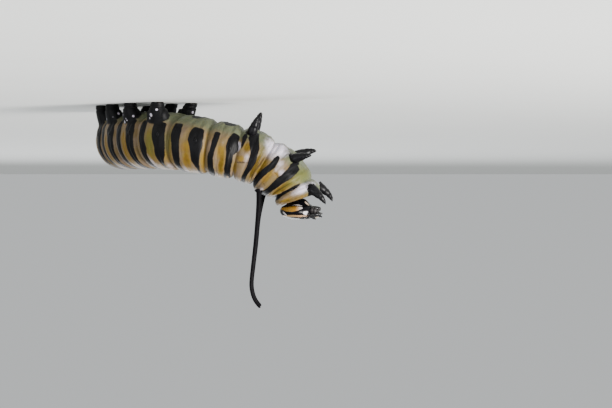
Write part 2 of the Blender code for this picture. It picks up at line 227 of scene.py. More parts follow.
def relief(s, angle):
    """Fine shape on the smooth body: annulets, puckers of the flank, grooves and swellings at the legs."""
    turned = np.abs(angle)
    rise = np.zeros_like(s)
    for name, start in body.start.items():
        for share, depth in ANNULETS.get(name, ABDOMEN_ANNULETS):
            wander = ANNULET_WANDER * np.sin(np.radians(turned * 3.0) + start)
            rise -= depth * hump(s - start - SEGMENTS[name][0] * share - wander, ANNULET_WIDTH)
    along, around = (np.sin(s * a + np.radians(turned) * b) for a, b in PUCKER_WAVES)
    rise += PUCKER_RISE * smooth((turned - PUCKER_FROM) / PUCKER_SPAN) * along * around
    for segment, (place, at, _) in LEG_PAIRS.items():
        off = np.hypot(s - place_in(segment, place), np.radians(turned - at) * COXA_FLANK)
        rise += COXA_RISE * hump(off, COXA_WIDTH)
    for _, place, at, root in feet():
        rise += PROLEG_SWELL * hump(off_oval(s, turned, place, abs(at), root), PROLEG_SWELL_WIDTH)
    flat = np.stack([s, arc(turned)], axis=1)
    for path in GROOVES:
        parts = [depth * hump(off, GROOVE_WIDTH) for off, depth in stretches(flat, on_skin(path))]
        rise -= np.max(parts, axis=0)
    return rise


def off_oval(s, angle, place, at, root):
    """Distance from the middle of an oval of the underside, as a share of its half sizes."""
    return np.hypot((s - place) / root[0], np.radians(angle - at) * PROLEG_FLANK / root[1])


def stretches(points, path):
    """For each stretch of a path of (place..., value) rows: how far the points are, and the value there."""
    rows = np.array(path, float)
    for a, b in zip(rows, rows[1:]):
        run = b[:-1] - a[:-1]
        t = np.clip(((points - a[:-1]) @ run) / (run @ run), 0.0, 1.0)
        yield np.linalg.norm(points - a[:-1] - t[:, None] * run, axis=1), a[-1] + (b[-1] - a[-1]) * t


def mesh_object(name, points, faces, smooth_faces=True):
    """A mesh piece from points in millimetres; its place is in its mesh."""
    mesh = bpy.data.meshes.new(name)
    mesh.from_pydata([tuple(p) for p in np.asarray(points) * MM], [], faces)
    bm = bmesh.new()
    bm.from_mesh(mesh)
    bmesh.ops.recalc_face_normals(bm, faces=bm.faces)
    bm.to_mesh(mesh)
    bm.free()
    if smooth_faces:
        mesh.shade_smooth()
    made = bpy.data.objects.new(name, mesh)
    bpy.context.scene.collection.objects.link(made)
    return made


def loft(name, rings, front_pole=None, rear_pole=None):
    """A closed piece through rings of equal count, each an array of points."""
    return shells(name, [(rings, front_pole, rear_pole)])


def shells(name, parts):
    """A piece of closed shells (rings, front pole, rear pole); a pole of None is the ring's middle."""
    points, faces = [], []
    for rings, *poles in parts:
        base, count = len(points), len(rings[0])
        points.extend(np.vstack(rings))
        around = [(i, (i + 1) % count) for i in range(count)]
        for low in range(base, base + (len(rings) - 1) * count, count):
            faces += [(low + i, low + j, low + count + j, low + count + i) for i, j in around]
        for k, pole in zip((0, len(rings) - 1), poles):
            points.append(np.mean(rings[k], axis=0) if pole is None else pole)
            faces += [(base + k * count + i, base + k * count + j, len(points) - 1) for i, j in around]
    return mesh_object(name, points, faces)


def ring_turn(sides):
    return np.linspace(0.0, 2.0 * np.pi, sides, endpoint=False)


def circle(centre, direction, radius, sides, towards):
    axis = unit(direction)
    first = unit(towards - axis * np.dot(towards, axis))
    turn = ring_turn(sides)[:, None]
    return centre + (first * np.cos(turn) + np.cross(axis, first) * np.sin(turn)) * radius


def oval_on_skin(s, angle, root, lift, sides, share=1.0):
    """An oval laid round a place on the skin; root is its half sizes along the body and round it."""
    turn = ring_turn(sides)
    around = math.degrees(root[1] / float(body.reach(s, angle)))
    places = s + root[0] * share * np.cos(turn), angle + around * share * np.sin(turn)
    return body.skin(*places, np.full(sides, lift))


def matched(ring, first):
    """The ring, wound the same way as first."""
    return ring if np.dot(ring[1] - ring[0], first[1] - first[0]) > 0.0 else np.roll(ring[::-1], 1, axis=0)


# The skin's rings. The first ones turn in behind the head like a cuff; the last ones round off the tail.
CUFF = ((0.50, 0.30), (0.34, 0.58), (0.16, 0.74), (0.05, 0.82), (0.0, 0.88), (0.03, 0.95), (0.10, 0.99))
CUFF_END, CUFF_POLE = 0.18, 0.55
RING_STEP = 0.075
TAIL_RINGS = 34
TAIL_ROUND_FROM = 20.0
SKIN_SIDES = 136


def skin_rings():
    rows = list(CUFF)
    tail_start = body.start["abdomen_10"] + GAP / 2
    count = round((tail_start - CUFF_END) / RING_STEP)
    rows += [(CUFF_END + (tail_start - CUFF_END) * k / count, 1.0) for k in range(count)]
    tail_length = body.length - tail_start
    for k in range(TAIL_RINGS):
        turn = 90.0 * k / TAIL_RINGS
        bend = (turn - TAIL_ROUND_FROM) * 90.0 / (90.0 - TAIL_ROUND_FROM)
        share = 1.0 if turn < TAIL_ROUND_FROM else math.cos(math.radians(bend))
        rows.append((tail_start + tail_length * math.sin(math.radians(turn)), share))
    return rows


def build_trunk():
    angle = np.linspace(0.0, 360.0, SKIN_SIDES, endpoint=False)
    signed = (angle + 180.0) % 360.0 - 180.0
    rings = []
    for s, share in skin_rings():
        whole = np.full(SKIN_SIDES, s)
        surface = body.skin(whole, angle, relief(whole, signed))
        rings.append(body.centre(s) + (surface - body.centre(s)) * share)
    return loft("larva_skin", rings, body.centre(CUFF_POLE), body.centre(body.length))


# A proleg from the root to the sole: height as a share, and radius; the cuff above the pad stands out.
PROLEG_PROFILE = (
    (0.95, 0.84), (0.82, 0.79), (0.70, 0.75), (0.60, 0.735), (0.52, 0.70), (0.46, 0.645), (0.41, 0.635),
    (0.34, 0.66), (0.27, 0.655), (0.21, 0.615), (0.165, 0.585), (0.12, 0.60), (0.07, 0.585), (0.03, 0.54),
    (0.0, 0.47),
)
PROLEG_SIDES = 40
PROLEG_SUNK, PROLEG_SUNK_SHARE, PROLEG_POLE = 0.55, 0.9, 0.3
PROLEG_MERGE = 0.55  # the height, as a share, above which it takes on the root's oval


def build_proleg(name, s, angle, root):
    """A proleg with its lower rings over the sole, and the facts that its hooks need."""
    first = oval_on_skin(s, angle, root, 0.02, PROLEG_SIDES)
    top = oval_on_skin(s, angle, root, GAP, PROLEG_SIDES).mean(axis=0)
    sunk = oval_on_skin(s, angle, root, -PROLEG_SUNK, PROLEG_SIDES, PROLEG_SUNK_SHARE)
    tail, _, left = body.axes(s)
    outwards = left * math.copysign(1.0, angle) * LEVEL
    sole = top * LEVEL + unit(outwards) * PROLEG_SPREAD - unit(tail * LEVEL) * PROLEG_REACH
    scale = (root[0] + root[1]) / sum(PROLEG_ROOT)
    rings = [sunk, first]
    for height, radius in PROLEG_PROFILE:
        centre = top + (sole - top) * (1.0 - height)
        centre[2] = height * min(1.0, top[2])
        ring = matched(circle(centre, -UP, radius * scale, PROLEG_SIDES, tail), first)
        blend = smooth((height - PROLEG_MERGE) / (1.0 - PROLEG_MERGE))
        rings.append(ring * (1.0 - blend) + (first + (ring.mean(axis=0) - first.mean(axis=0))) * blend)
    pole = body.centre(s) * PROLEG_POLE + sunk.mean(axis=0) * (1.0 - PROLEG_POLE)
    return loft(name, rings, pole), (sole, scale, outwards)


def join_by_union(main, others, name):
    """One closed skin from overlapping closed pieces."""
    group = bpy.data.collections.new(name + "_parts")
    bpy.context.scene.collection.children.link(group)
    for other in others:
        bpy.context.scene.collection.objects.unlink(other)
        group.objects.link(other)
    union = main.modifiers.new("union", "BOOLEAN")
    union.operation = "UNION"
    union.operand_type = "COLLECTION"
    union.collection = group
    union.solver = "EXACT"
    plain = plain_mesh(main)
    main.modifiers.clear()
    main.data = plain
    for other in others:
        bpy.data.objects.remove(other, do_unlink=True)
    bpy.data.collections.remove(group)
    return main


def plain_mesh(piece):
    graph = bpy.context.evaluated_depsgraph_get()
    return bpy.data.meshes.new_from_object(piece.evaluated_get(graph), depsgraph=graph)


def mesh_points(mesh):
    points = np.empty(len(mesh.vertices) * 3)
    mesh.vertices.foreach_get("co", points)
    return points.reshape(-1, 3) / MM


def write_field(mesh, name, values):
    field = mesh.attributes.new(name, "FLOAT", "POINT")
    field.data.foreach_set("value", np.asarray(values, np.float32))


SEAM_SMOOTHING, SEAM_REACH, SEAM_SIDES = 14, 0.42, 48
SEAM_BOX = 2.2  # half size of the box that is searched round each proleg


def soften_seams(piece, roots):
    """Rounds the crease where each proleg leaves the body, as skin does."""
    bm = bmesh.new()
    bm.from_mesh(piece.data)
    bm.verts.ensure_lookup_table()
    points = mesh_points(piece.data)
    near = np.zeros(len(points), bool)
    for s, angle, root in roots:
        ring = oval_on_skin(s, angle, root, 0.05, SEAM_SIDES)
        spot = np.flatnonzero(np.all(np.abs(points - ring.mean(axis=0)) < SEAM_BOX, axis=1))
        gap = np.sqrt(((points[spot][:, None, :] - ring[None]) ** 2).sum(-1)).min(axis=1)
        near[spot[gap < SEAM_REACH]] = True
    chosen = [bm.verts[int(i)] for i in np.flatnonzero(near)]
    all_ways = {"use_axis_x": True, "use_axis_y": True, "use_axis_z": True}
    for _ in range(SEAM_SMOOTHING):
        bmesh.ops.smooth_vert(bm, verts=chosen, factor=0.5, **all_ways)
    bm.to_mesh(piece.data)
    bm.free()


# Black bands. Each row is (angle, from s, to s). The front half's bands are set one by one after the photo,
# and the rest repeat with shares of their segment.
FRONT_BANDS = (
    ((0, 0.72, 1.38), (45, 0.74, 1.40), (60, 0.80, 1.33), (75, 0.92, 1.28), (90, 0.98, 1.27),
     (105, 0.94, 1.23), (120, 1.00, 1.22), (132, 1.08, 1.18)),
    ((0, 1.96, 2.64), (30, 1.99, 2.70), (45, 1.97, 2.72), (60, 1.95, 2.66), (90, 1.96, 2.70),
     (105, 1.90, 2.64), (120, 1.88, 2.66), (135, 1.94, 2.78), (148, 2.04, 2.70)),
    ((0, 4.16, 4.64), (30, 4.08, 4.66), (45, 4.02, 4.67), (60, 3.98, 4.62), (75, 3.85, 4.50),
     (90, 3.68, 4.32), (105, 3.50, 4.12), (118, 3.58, 4.06), (131, 3.74, 3.94)),
    ((0, 5.50, 6.05), (45, 5.50, 6.04), (60, 5.48, 5.96), (75, 5.31, 5.85), (90, 5.23, 5.88),
     (105, 5.30, 5.96), (120, 5.42, 6.25), (135, 5.65, 6.54), (150, 5.85, 6.40), (165, 5.95, 6.20)),
    ((0, 7.26, 7.42), (30, 7.28, 7.48), (42, 7.33, 7.70), (50, 7.33, 7.83), (75, 7.30, 7.83),
     (90, 7.30, 7.88), (98, 7.06, 7.92), (105, 7.00, 8.00), (120, 7.15, 7.98), (138, 7.15, 7.70)),
    ((106, 6.78, 6.82), (118, 6.66, 6.90), (135, 6.58, 6.98), (145, 6.70, 6.90)),
    ((0, 7.62, 7.86), (30, 7.62, 7.86), (46, 7.58, 7.82)),
    ((0, 8.84, 9.24), (15, 8.77, 9.20), (30, 8.62, 9.15), (45, 8.66, 9.25), (60, 8.75, 9.27),
     (75, 8.80, 9.27), (90, 8.77, 9.20), (105, 8.68, 9.12), (130, 8.60, 9.10)),
    ((0, 9.98, 10.22), (38, 9.98, 10.15), (46, 9.95, 10.30), (60, 9.94, 10.55), (75, 9.88, 10.60),
     (90, 9.77, 10.73), (101, 9.80, 10.92), (115, 9.85, 10.88), (130, 9.90, 10.70)),
    ((0, 11.60, 12.00), (30, 11.60, 12.00), (45, 11.62, 12.14), (60, 11.50, 12.14), (75, 11.50, 12.14),
     (90, 11.55, 12.23), (105, 11.55, 12.36), (132, 11.62, 12.26)),
    ((0, 13.28, 13.58), (38, 13.28, 13.60), (46, 13.18, 13.70), (60, 12.95, 13.80), (75, 12.83, 13.72),
     (90, 12.86, 13.90), (105, 12.92, 14.05), (128, 13.00, 14.00)),
    ((0, 14.60, 15.05), (45, 14.66, 15.20), (60, 14.72, 15.28), (75, 14.55, 15.30), (90, 14.76, 15.36),
     (130, 14.70, 15.30)),
)
REAR_BANDS = {  # shares of the segment, in the same way
    "abdomen_9": (((0, 0.12, 0.42), (120, 0.16, 0.40)), ((0, 0.66, 0.92), (120, 0.68, 0.88))),
    "abdomen_10": (((0, 0.14, 0.30), (110, 0.16, 0.30)),
                   ((0, 0.50, 1.30), (70, 0.60, 1.30), (100, 0.80, 1.30))),
}
PLAIN_BANDS = (
    ((0, 0.13, 0.30), (40, 0.13, 0.30), (60, 0.10, 0.33), (90, 0.08, 0.36), (110, 0.08, 0.40),
     (132, 0.12, 0.36)),
    ((0, 0.63, 0.78), (40, 0.63, 0.80), (75, 0.61, 0.82), (105, 0.61, 0.87), (132, 0.64, 0.82)),
)
PLAIN_SEGMENTS = ("abdomen_4", "abdomen_5", "abdomen_6", "abdomen_7", "abdomen_8")

# Painted shade: thin dark lines along the folds, where the skin is creased, as paths of (s, angle, half
# width).
CREASE_SHADE_LINES = (
    ((1.66, 52, 0.02), (1.66, 75, 0.055), (1.62, 98, 0.045), (1.56, 116, 0.01)),
    ((1.38, 70, 0.01), (1.36, 84, 0.03), (1.34, 100, 0.01)),
    ((4.86, 34, 0.02), (4.98, 56, 0.075), (4.94, 74, 0.065), (4.80, 92, 0.075), (4.74, 108, 0.05),
     (4.70, 118, 0.01)),
    ((5.14, 60, 0.01), (5.04, 84, 0.03), (4.96, 104, 0.04), (5.00, 120, 0.01)),
    ((4.62, 62, 0.01), (4.46, 84, 0.03), (4.30, 104, 0.02)),
    ((5.92, 85, 0.03), (6.30, 82, 0.065), (6.70, 78, 0.06), (7.02, 75, 0.03)),
    ((2.56, 95, 0.01), (2.95, 97, 0.03), (3.42, 99, 0.015)),
    ((3.05, 61, 0.02), (3.32, 63, 0.06), (3.42, 65, 0.02)),
    ((3.52, 128, 0.02), (3.46, 146, 0.05), (3.30, 160, 0.02)),
    ((9.55, 60, 0.01), (9.50, 85, 0.03), (9.45, 110, 0.03)),
    ((12.52, 55, 0.01), (12.46, 85, 0.03), (12.50, 110, 0.03)),
)
# The same painted shade on each plain segment, with its share in place of s.
REAR_CREASE_SHADE = ((0.93, 20, 0.015), (0.94, 70, 0.04), (0.95, 116, 0.03))
# Grooves pressed into the skin, as paths of (s, angle, depth), along the folds of the bent front.
GROOVES = (
    ((5.88, 85, 0.02), (6.30, 82, 0.10), (6.75, 78, 0.10), (7.08, 75, 0.03)),
    ((2.50, 95, 0.02), (2.95, 97, 0.09), (3.45, 99, 0.06)),
    ((1.66, 40, 0.03), (1.66, 75, 0.08), (1.60, 105, 0.08), (1.55, 130, 0.03)),
    ((4.86, 30, 0.03), (4.98, 56, 0.09), (4.80, 92, 0.10), (4.70, 120, 0.04)),
    ((3.95, 128, 0.02), (3.80, 145, 0.09), (3.86, 170, 0.06)),
    ((4.35, 120, 0.02), (4.28, 140, 0.10), (4.34, 172, 0.06)),
    ((4.90, 122, 0.03), (4.96, 140, 0.09), (4.90, 170, 0.06)),
    ((0.40, 95, 0.02), (0.46, 125, 0.08), (0.42, 165, 0.05)),
    ((0.74, 100, 0.02), (0.78, 130, 0.07), (0.74, 165, 0.04)),
    ((7.45, 44, 0.02), (7.52, 62, 0.06), (7.52, 90, 0.03)),
)
GROOVE_WIDTH = 0.085
# Soft patches of the pale bands: (s, angle, half length, half height in degrees, strength). The deep patches
# are painted shade: they darken the gold where the skin is drawn into a fold and over the shaded flank of
# the first abdominal segments.
PATCHES = {
    "warm": (
        (0.36, 68, 0.16, 34, 0.8), (0.12, 120, 0.16, 40, 0.6), (1.58, 84, 0.34, 40, 1.0),
        (1.58, 135, 0.30, 26, 0.45), (3.55, 78, 0.42, 19, 1.0), (3.10, 99, 0.50, 7, 0.7),
        (2.72, 128, 0.12, 14, 0.5), (4.50, 86, 0.34, 24, 1.0), (5.05, 82, 0.26, 30, 1.0),
        (6.98, 58, 0.24, 20, 0.9), (6.62, 87, 0.52, 8, 0.9), (6.35, 114, 0.34, 8, 0.9),
        (8.10, 60, 0.24, 38, 1.0), (8.30, 90, 0.36, 16, 0.9), (9.66, 60, 0.20, 60, 0.85),
        (10.90, 52, 0.34, 36, 1.0), (11.00, 86, 0.42, 14, 0.9), (12.42, 64, 0.28, 40, 0.8),
        (12.90, 60, 0.20, 26, 0.7), (14.20, 68, 0.50, 44, 0.9),
    ),
    # White patches along the back, at angles below 45 degrees, are painted highlights; those low on the
    # flank and belly are the skin's own white.
    "white": (
        (8.52, 28, 0.16, 18, 0.36), (11.30, 26, 0.24, 20, 0.46), (12.98, 26, 0.24, 18, 0.44),
        (9.42, 24, 0.24, 20, 0.34), (3.12, 40, 0.36, 15, 0.62), (3.42, 16, 0.34, 22, 0.60),
        (4.30, 150, 0.90, 30, 1.0), (0.72, 136, 0.34, 36, 0.82), (3.32, 116, 0.32, 20, 0.52),
        (5.06, 146, 0.34, 18, 0.36), (7.08, 112, 0.18, 12, 0.85), (2.75, 108, 0.34, 9, 0.55),
        (6.15, 93, 0.34, 10, 0.45), (8.30, 108, 0.34, 10, 0.25), (14.62, 40, 0.34, 20, 0.55),
    ),
    "green": (
        (1.60, 140, 0.44, 38, 1.0), (5.10, 122, 0.30, 14, 0.5), (12.60, 90, 0.34, 28, 0.8),
        (14.20, 84, 0.46, 26, 0.9),
    ),
    # Painted shade: the gold darkened in the folds and on the shaded flank.
    "deep": (
        (1.60, 88, 0.30, 44, 0.9), (4.70, 92, 0.26, 30, 0.7), (5.12, 84, 0.24, 34, 1.0),
        (5.20, 112, 0.16, 16, 0.6), (7.04, 64, 0.14, 26, 0.3), (2.78, 96, 0.34, 7, 0.6),
        (0.20, 96, 0.16, 40, 0.7), (8.02, 70, 0.12, 34, 0.5), (8.10, 66, 0.22, 30, 0.85),
        (10.86, 62, 0.28, 34, 0.42), (6.35, 114, 0.34, 12, 0.85), (10.66, 76, 0.12, 28, 0.5),
        (12.36, 78, 0.16, 36, 0.4), (9.50, 74, 0.16, 44, 0.5), (14.10, 80, 0.46, 26, 0.3),
    ),
}
PLAIN_PATCHES = {  # on every plain segment, by its share
    "warm": ((0.44, 58, 0.38, 46, 1.0), (0.46, 90, 0.40, 16, 0.8)),
    # Painted highlights along the back.
    "white": ((0.97, 36, 0.26, 40, 0.46), (0.56, 26, 0.18, 20, 0.46)),
    "green": (),
    # Painted shade in the fold near each segment's rear joint.
    "deep": ((0.94, 74, 0.16, 40, 0.7),),
}
PATCH_SQUARENESS, PATCH_FALL = 1.5, 0.7
FIELD_LIMIT = 1.5
FLANK_RADIUS = 2.6
LEG_SPOT, FILAMENT_SPOT = 0.50, 0.40
BELLY_PATCH = (0.50, 0.62, 0.95)  # share of the segment, half length, half width
BAND_CORNER, BAND_CORNER_CUT = 0.16, 0.25
PROLEG_SKIRT, PROLEG_BLACK_FROM = 2.2, 0.10  # how far a proleg's black reaches, and off which height


def arc(angle):
    return np.radians(angle) * FLANK_RADIUS


def gap_to_line(points, path):
    """How far inside a path of (place..., half width) rows each point is; negative outside it."""
    inside = np.max([width - off for off, width in stretches(points, path)], axis=0)
    return np.maximum(inside, -FIELD_LIMIT)


def on_skin(path, start=0.0, length=1.0):
    """Rows of (s, angle, ...) in millimetres along the body and round it."""
    return [(start + row[0] * length, arc(row[1]), *row[2:]) for row in path]


def band_field(s, turned, rows, start=0.0, length=1.0):
    """Millimetres inside a black band; negative outside it."""
    angles, begin, end = (np.array(column, float) for column in zip(*rows))
    low = start + np.interp(turned, angles, begin) * length
    high = start + np.interp(turned, angles, end) * length
    across = np.minimum(s - low, high - s)
    beyond = arc(angles[-1] - turned)
    if angles[0] > 0.0:
        beyond = np.minimum(beyond, arc(turned - angles[0]))
    close = np.maximum(BAND_CORNER - np.abs(across - beyond), 0.0) / BAND_CORNER
    return np.minimum(across, beyond) - close * close * BAND_CORNER * BAND_CORNER_CUT


def patch_field(s, turned, rows):
    """Strength, from 0 to 1, of soft oval patches."""
    found = np.zeros(len(s))
    for place, angle, half_length, half_height, strength in rows:
        off = ((s - place) / half_length) ** 2 + ((turned - angle) / half_height) ** 2
        found = np.maximum(found, strength * np.exp(-(off**PATCH_SQUARENESS) * PATCH_FALL))
    return found


def repeated(rows):
    """Patches given by their share of a segment, laid on every plain segment."""
    return tuple((place_in(name, share), *rest) for name in PLAIN_SEGMENTS for share, *rest in rows)


def markings(s, angle, lift, points):
    """The fields of the skin's colours; those of marks are in millimetres inside each mark."""
    turned = np.abs(angle)
    flat = np.stack([s, arc(turned)], axis=1)
    black = np.full(len(s), -FIELD_LIMIT)
    for rows in FRONT_BANDS:
        black = np.maximum(black, band_field(s, turned, rows))
    # Painted shade along the creases of the folds.
    line = np.full(len(s), -FIELD_LIMIT)
    for path in CREASE_SHADE_LINES:
        line = np.maximum(line, gap_to_line(flat, on_skin(path)))
    for name, start in body.start.items():
        length = SEGMENTS[name][0]
        for rows in REAR_BANDS.get(name, PLAIN_BANDS if name in PLAIN_SEGMENTS else ()):
            black = np.maximum(black, band_field(s, turned, rows, start, length))
        if name in PLAIN_SEGMENTS:
            line = np.maximum(line, gap_to_line(flat, on_skin(REAR_CREASE_SHADE, start, length)))
        if name.startswith("abdomen") and name not in REAR_BANDS:
            share, half_length, half_width = BELLY_PATCH
            off = off_oval(s, turned, start + share * length, 180.0, (half_length, half_width))
            black = np.maximum(black, (1.0 - off) * half_length)
    for segment, (place, at, _) in LEG_PAIRS.items():
        black = np.maximum(black, LEG_SPOT - np.hypot(s - place_in(segment, place), arc(turned - at)))
    for facts in FILAMENTS.values():
        at = place_in(facts["segment"], facts["place"])
        black = np.maximum(black, FILAMENT_SPOT - np.hypot(s - at, arc(turned - facts["angle"])))
    proleg = np.full(len(s), -FIELD_LIMIT)
    for _, place, at, root in feet():
        near = off_oval(s, angle, place, at, root) < PROLEG_SKIRT
        proleg = np.maximum(proleg, np.where(near, lift - PROLEG_BLACK_FROM, -FIELD_LIMIT))
    fields = {"black": black, "line": line, "proleg": proleg}
    fields = {name: np.clip(values, -FIELD_LIMIT, FIELD_LIMIT) for name, values in fields.items()}
    for name, rows in PATCHES.items():
        fields[name] = patch_field(s, turned, rows + repeated(PLAIN_PATCHES[name]))
    fields.update({"along": s, "around": turned / 180.0, "height": points[:, 2]})
    return fields


def build_skin():
    trunk = build_trunk()
    made = [build_proleg(*foot) for foot in feet()]
    join_by_union(trunk, [foot for foot, _ in made], "larva_skin")
    soften_seams(trunk, [(s, angle, root) for _, s, angle, root in feet()])
    mesh = trunk.data
    mesh.shade_smooth()
    points = mesh_points(mesh)
    for name, values in markings(*body.locate(points), points).items():
        write_field(mesh, name, values)
    return trunk, [sole for _, sole in made]


# Colours of the skin.
SKIN_BLACK = (0.0016, 0.0015, 0.0020)
SKIN_TAN = (0.128, 0.088, 0.036)
SKIN_MAUVE = (0.150, 0.106, 0.068)
SKIN_GOLD = (0.165, 0.100, 0.004)
SKIN_ORANGE = (0.150, 0.078, 0.006)
# The skin's white, also used for the painted highlights along the back.
SKIN_WHITE_AND_HIGHLIGHT = (0.50, 0.46, 0.53)
SKIN_GREEN = (0.084, 0.090, 0.020)
BELLY_PALE = (0.092, 0.100, 0.056)
# Painted shade: the dark gold that the folds and the shaded flank are darkened to.
SKIN_PAINTED_SHADE = (0.060, 0.036, 0.0012)
# Painted shade: the dark brown laid along the creases.
CREASE_SHADE_BROWN = (0.010, 0.005, 0.003)


class Tree:
    """Short ways to add and link shader nodes."""

    def __init__(self, owner):
        self.nodes, self.links = owner.nodes, owner.links

    def add(self, kind, **settings):
        node = self.nodes.new(kind)
        for key, value in settings.items():
            setattr(node, key, value)
        return node

    def feed(self, socket, value):
        if isinstance(value, bpy.types.NodeSocket):
            self.links.new(value, socket)
        elif isinstance(value, tuple) and len(value) == 3 and socket.type == "RGBA":
            socket.default_value = (*value, 1.0)
        else:
            socket.default_value = value

    def maths(self, operation, *values):
        node = self.add("ShaderNodeMath", operation=operation)
        for socket, value in zip(node.inputs, values):
            self.feed(socket, value)
        return node.outputs[0]

    def ramp(self, value, low, high, out_low=0.0, out_high=1.0):
        """A smooth step of value between low and high."""
        node = self.add("ShaderNodeMapRange", interpolation_type="SMOOTHSTEP")
        names = ("Value", "From Min", "From Max", "To Min", "To Max")
        for name, given in zip(names, (value, low, high, out_low, out_high)):
            self.feed(node.inputs[name], given)
        return node.outputs["Result"]

    def mix(self, factor, a, b):
        node = self.add("ShaderNodeMix", data_type="RGBA")
        colour_inputs = [socket for socket in node.inputs if socket.type == "RGBA"]
        for socket, value in zip((node.inputs["Factor"], *colour_inputs), (factor, a, b)):
            self.feed(socket, value)
        return next(socket for socket in node.outputs if socket.type == "RGBA")

    def field(self, name):
        return self.add("ShaderNodeAttribute", attribute_name=name).outputs["Fac"]

    def noise(self, scale, detail=3.0, vector=None):
        node = self.add("ShaderNodeTexNoise")
        node.inputs["Scale"].default_value = scale
        node.inputs["Detail"].default_value = detail
        node.inputs["Roughness"].default_value = NOISE_ROUGHNESS
        self.feed(node.inputs["Vector"], vector if vector is not None else self.place())
        return node.outputs["Fac"]

    def place(self):
        return self.add("ShaderNodeTexCoord").outputs["Object"]


PER_MM = 1000.0  # texture scale for one repeat a millimetre, as Object coordinates are metres
NOISE_ROUGHNESS = 0.55


def new_group(name, kind, inputs, label, put_out):
    """An empty node group, ways to fill it, what it is given, and the socket that it puts out."""
    group = bpy.data.node_groups.new(name, kind)
    for given, socket in inputs:
        group.interface.new_socket(given, in_out="INPUT", socket_type=socket)
    group.interface.new_socket(label, in_out="OUTPUT", socket_type=put_out)
    t = Tree(group)
    return group, t, t.add("NodeGroupInput").outputs, t.add("NodeGroupOutput").inputs[label]


NUMBER = "NodeSocketFloat"


def edge_group():
    """Mask of a mark from its field: a crisp edge that wanders a little, as pigment does; it also edges the
    painted shade in the creases.
    """
    inputs = [(name, NUMBER) for name in ("Field", "Wander", "Softness")]
    group, t, given, mask = new_group("pigment edge", "ShaderNodeTree", inputs, "Mask", NUMBER)
    coarse = t.maths("SUBTRACT", t.noise(1.3 * PER_MM, 2.0), 0.5)
    fine = t.maths("MULTIPLY", t.maths("SUBTRACT", t.noise(6.0 * PER_MM, 2.0), 0.5), 0.45)
    shift = t.maths("MULTIPLY", t.maths("ADD", coarse, fine), given["Wander"])
    low = t.maths("MULTIPLY", given["Softness"], -1.0)
    t.feed(mask, t.ramp(t.maths("ADD", given["Field"], shift), low, given["Softness"]))
    return group


FOLDS_ALONG, FOLDS_AROUND = 4.6, 7.0  # wrinkles for each millimetre along, and for half a turn


def skin_relief_group():
    """Height of fine skin: grain, and wrinkles that run round the body."""
    inputs = [(name, NUMBER) for name in ("Grain", "Wrinkle")]
    group, t, given, height = new_group("skin relief", "ShaderNodeTree", inputs, "Height", NUMBER)
    grain = t.maths("MULTIPLY", t.noise(14.0 * PER_MM, 4.0), given["Grain"])
    where = t.add("ShaderNodeCombineXYZ")
    t.feed(where.inputs["X"], t.maths("MULTIPLY", t.field("along"), FOLDS_ALONG))
    t.feed(where.inputs["Y"], t.maths("MULTIPLY", t.field("around"), FOLDS_AROUND))
    wrinkle = t.maths("MULTIPLY", t.noise(1.0, 1.5, where.outputs["Vector"]), given["Wrinkle"])
    t.feed(height, t.maths("ADD", grain, wrinkle))
    return group


def new_material(name):
    made = bpy.data.materials.new(name)
    made.use_nodes = True
    return made, Tree(made.node_tree), made.node_tree.nodes["Principled BSDF"]


def use_group(t, group, **values):
    node = t.add("ShaderNodeGroup", node_tree=group)
    for name, value in values.items():
        t.feed(node.inputs[name], value)
    return node.outputs[0]


def set_values(shader, **values):
    for name, value in values.items():
        shader.inputs[name.replace("_", " ")].default_value = value


def set_bump(t, shader, height, distance):
    bump = t.add("ShaderNodeBump")
    bump.inputs["Strength"].default_value = 1.0
    bump.inputs["Distance"].default_value = distance
    t.feed(bump.inputs["Height"], height)
    t.feed(shader.inputs["Normal"], bump.outputs[0])


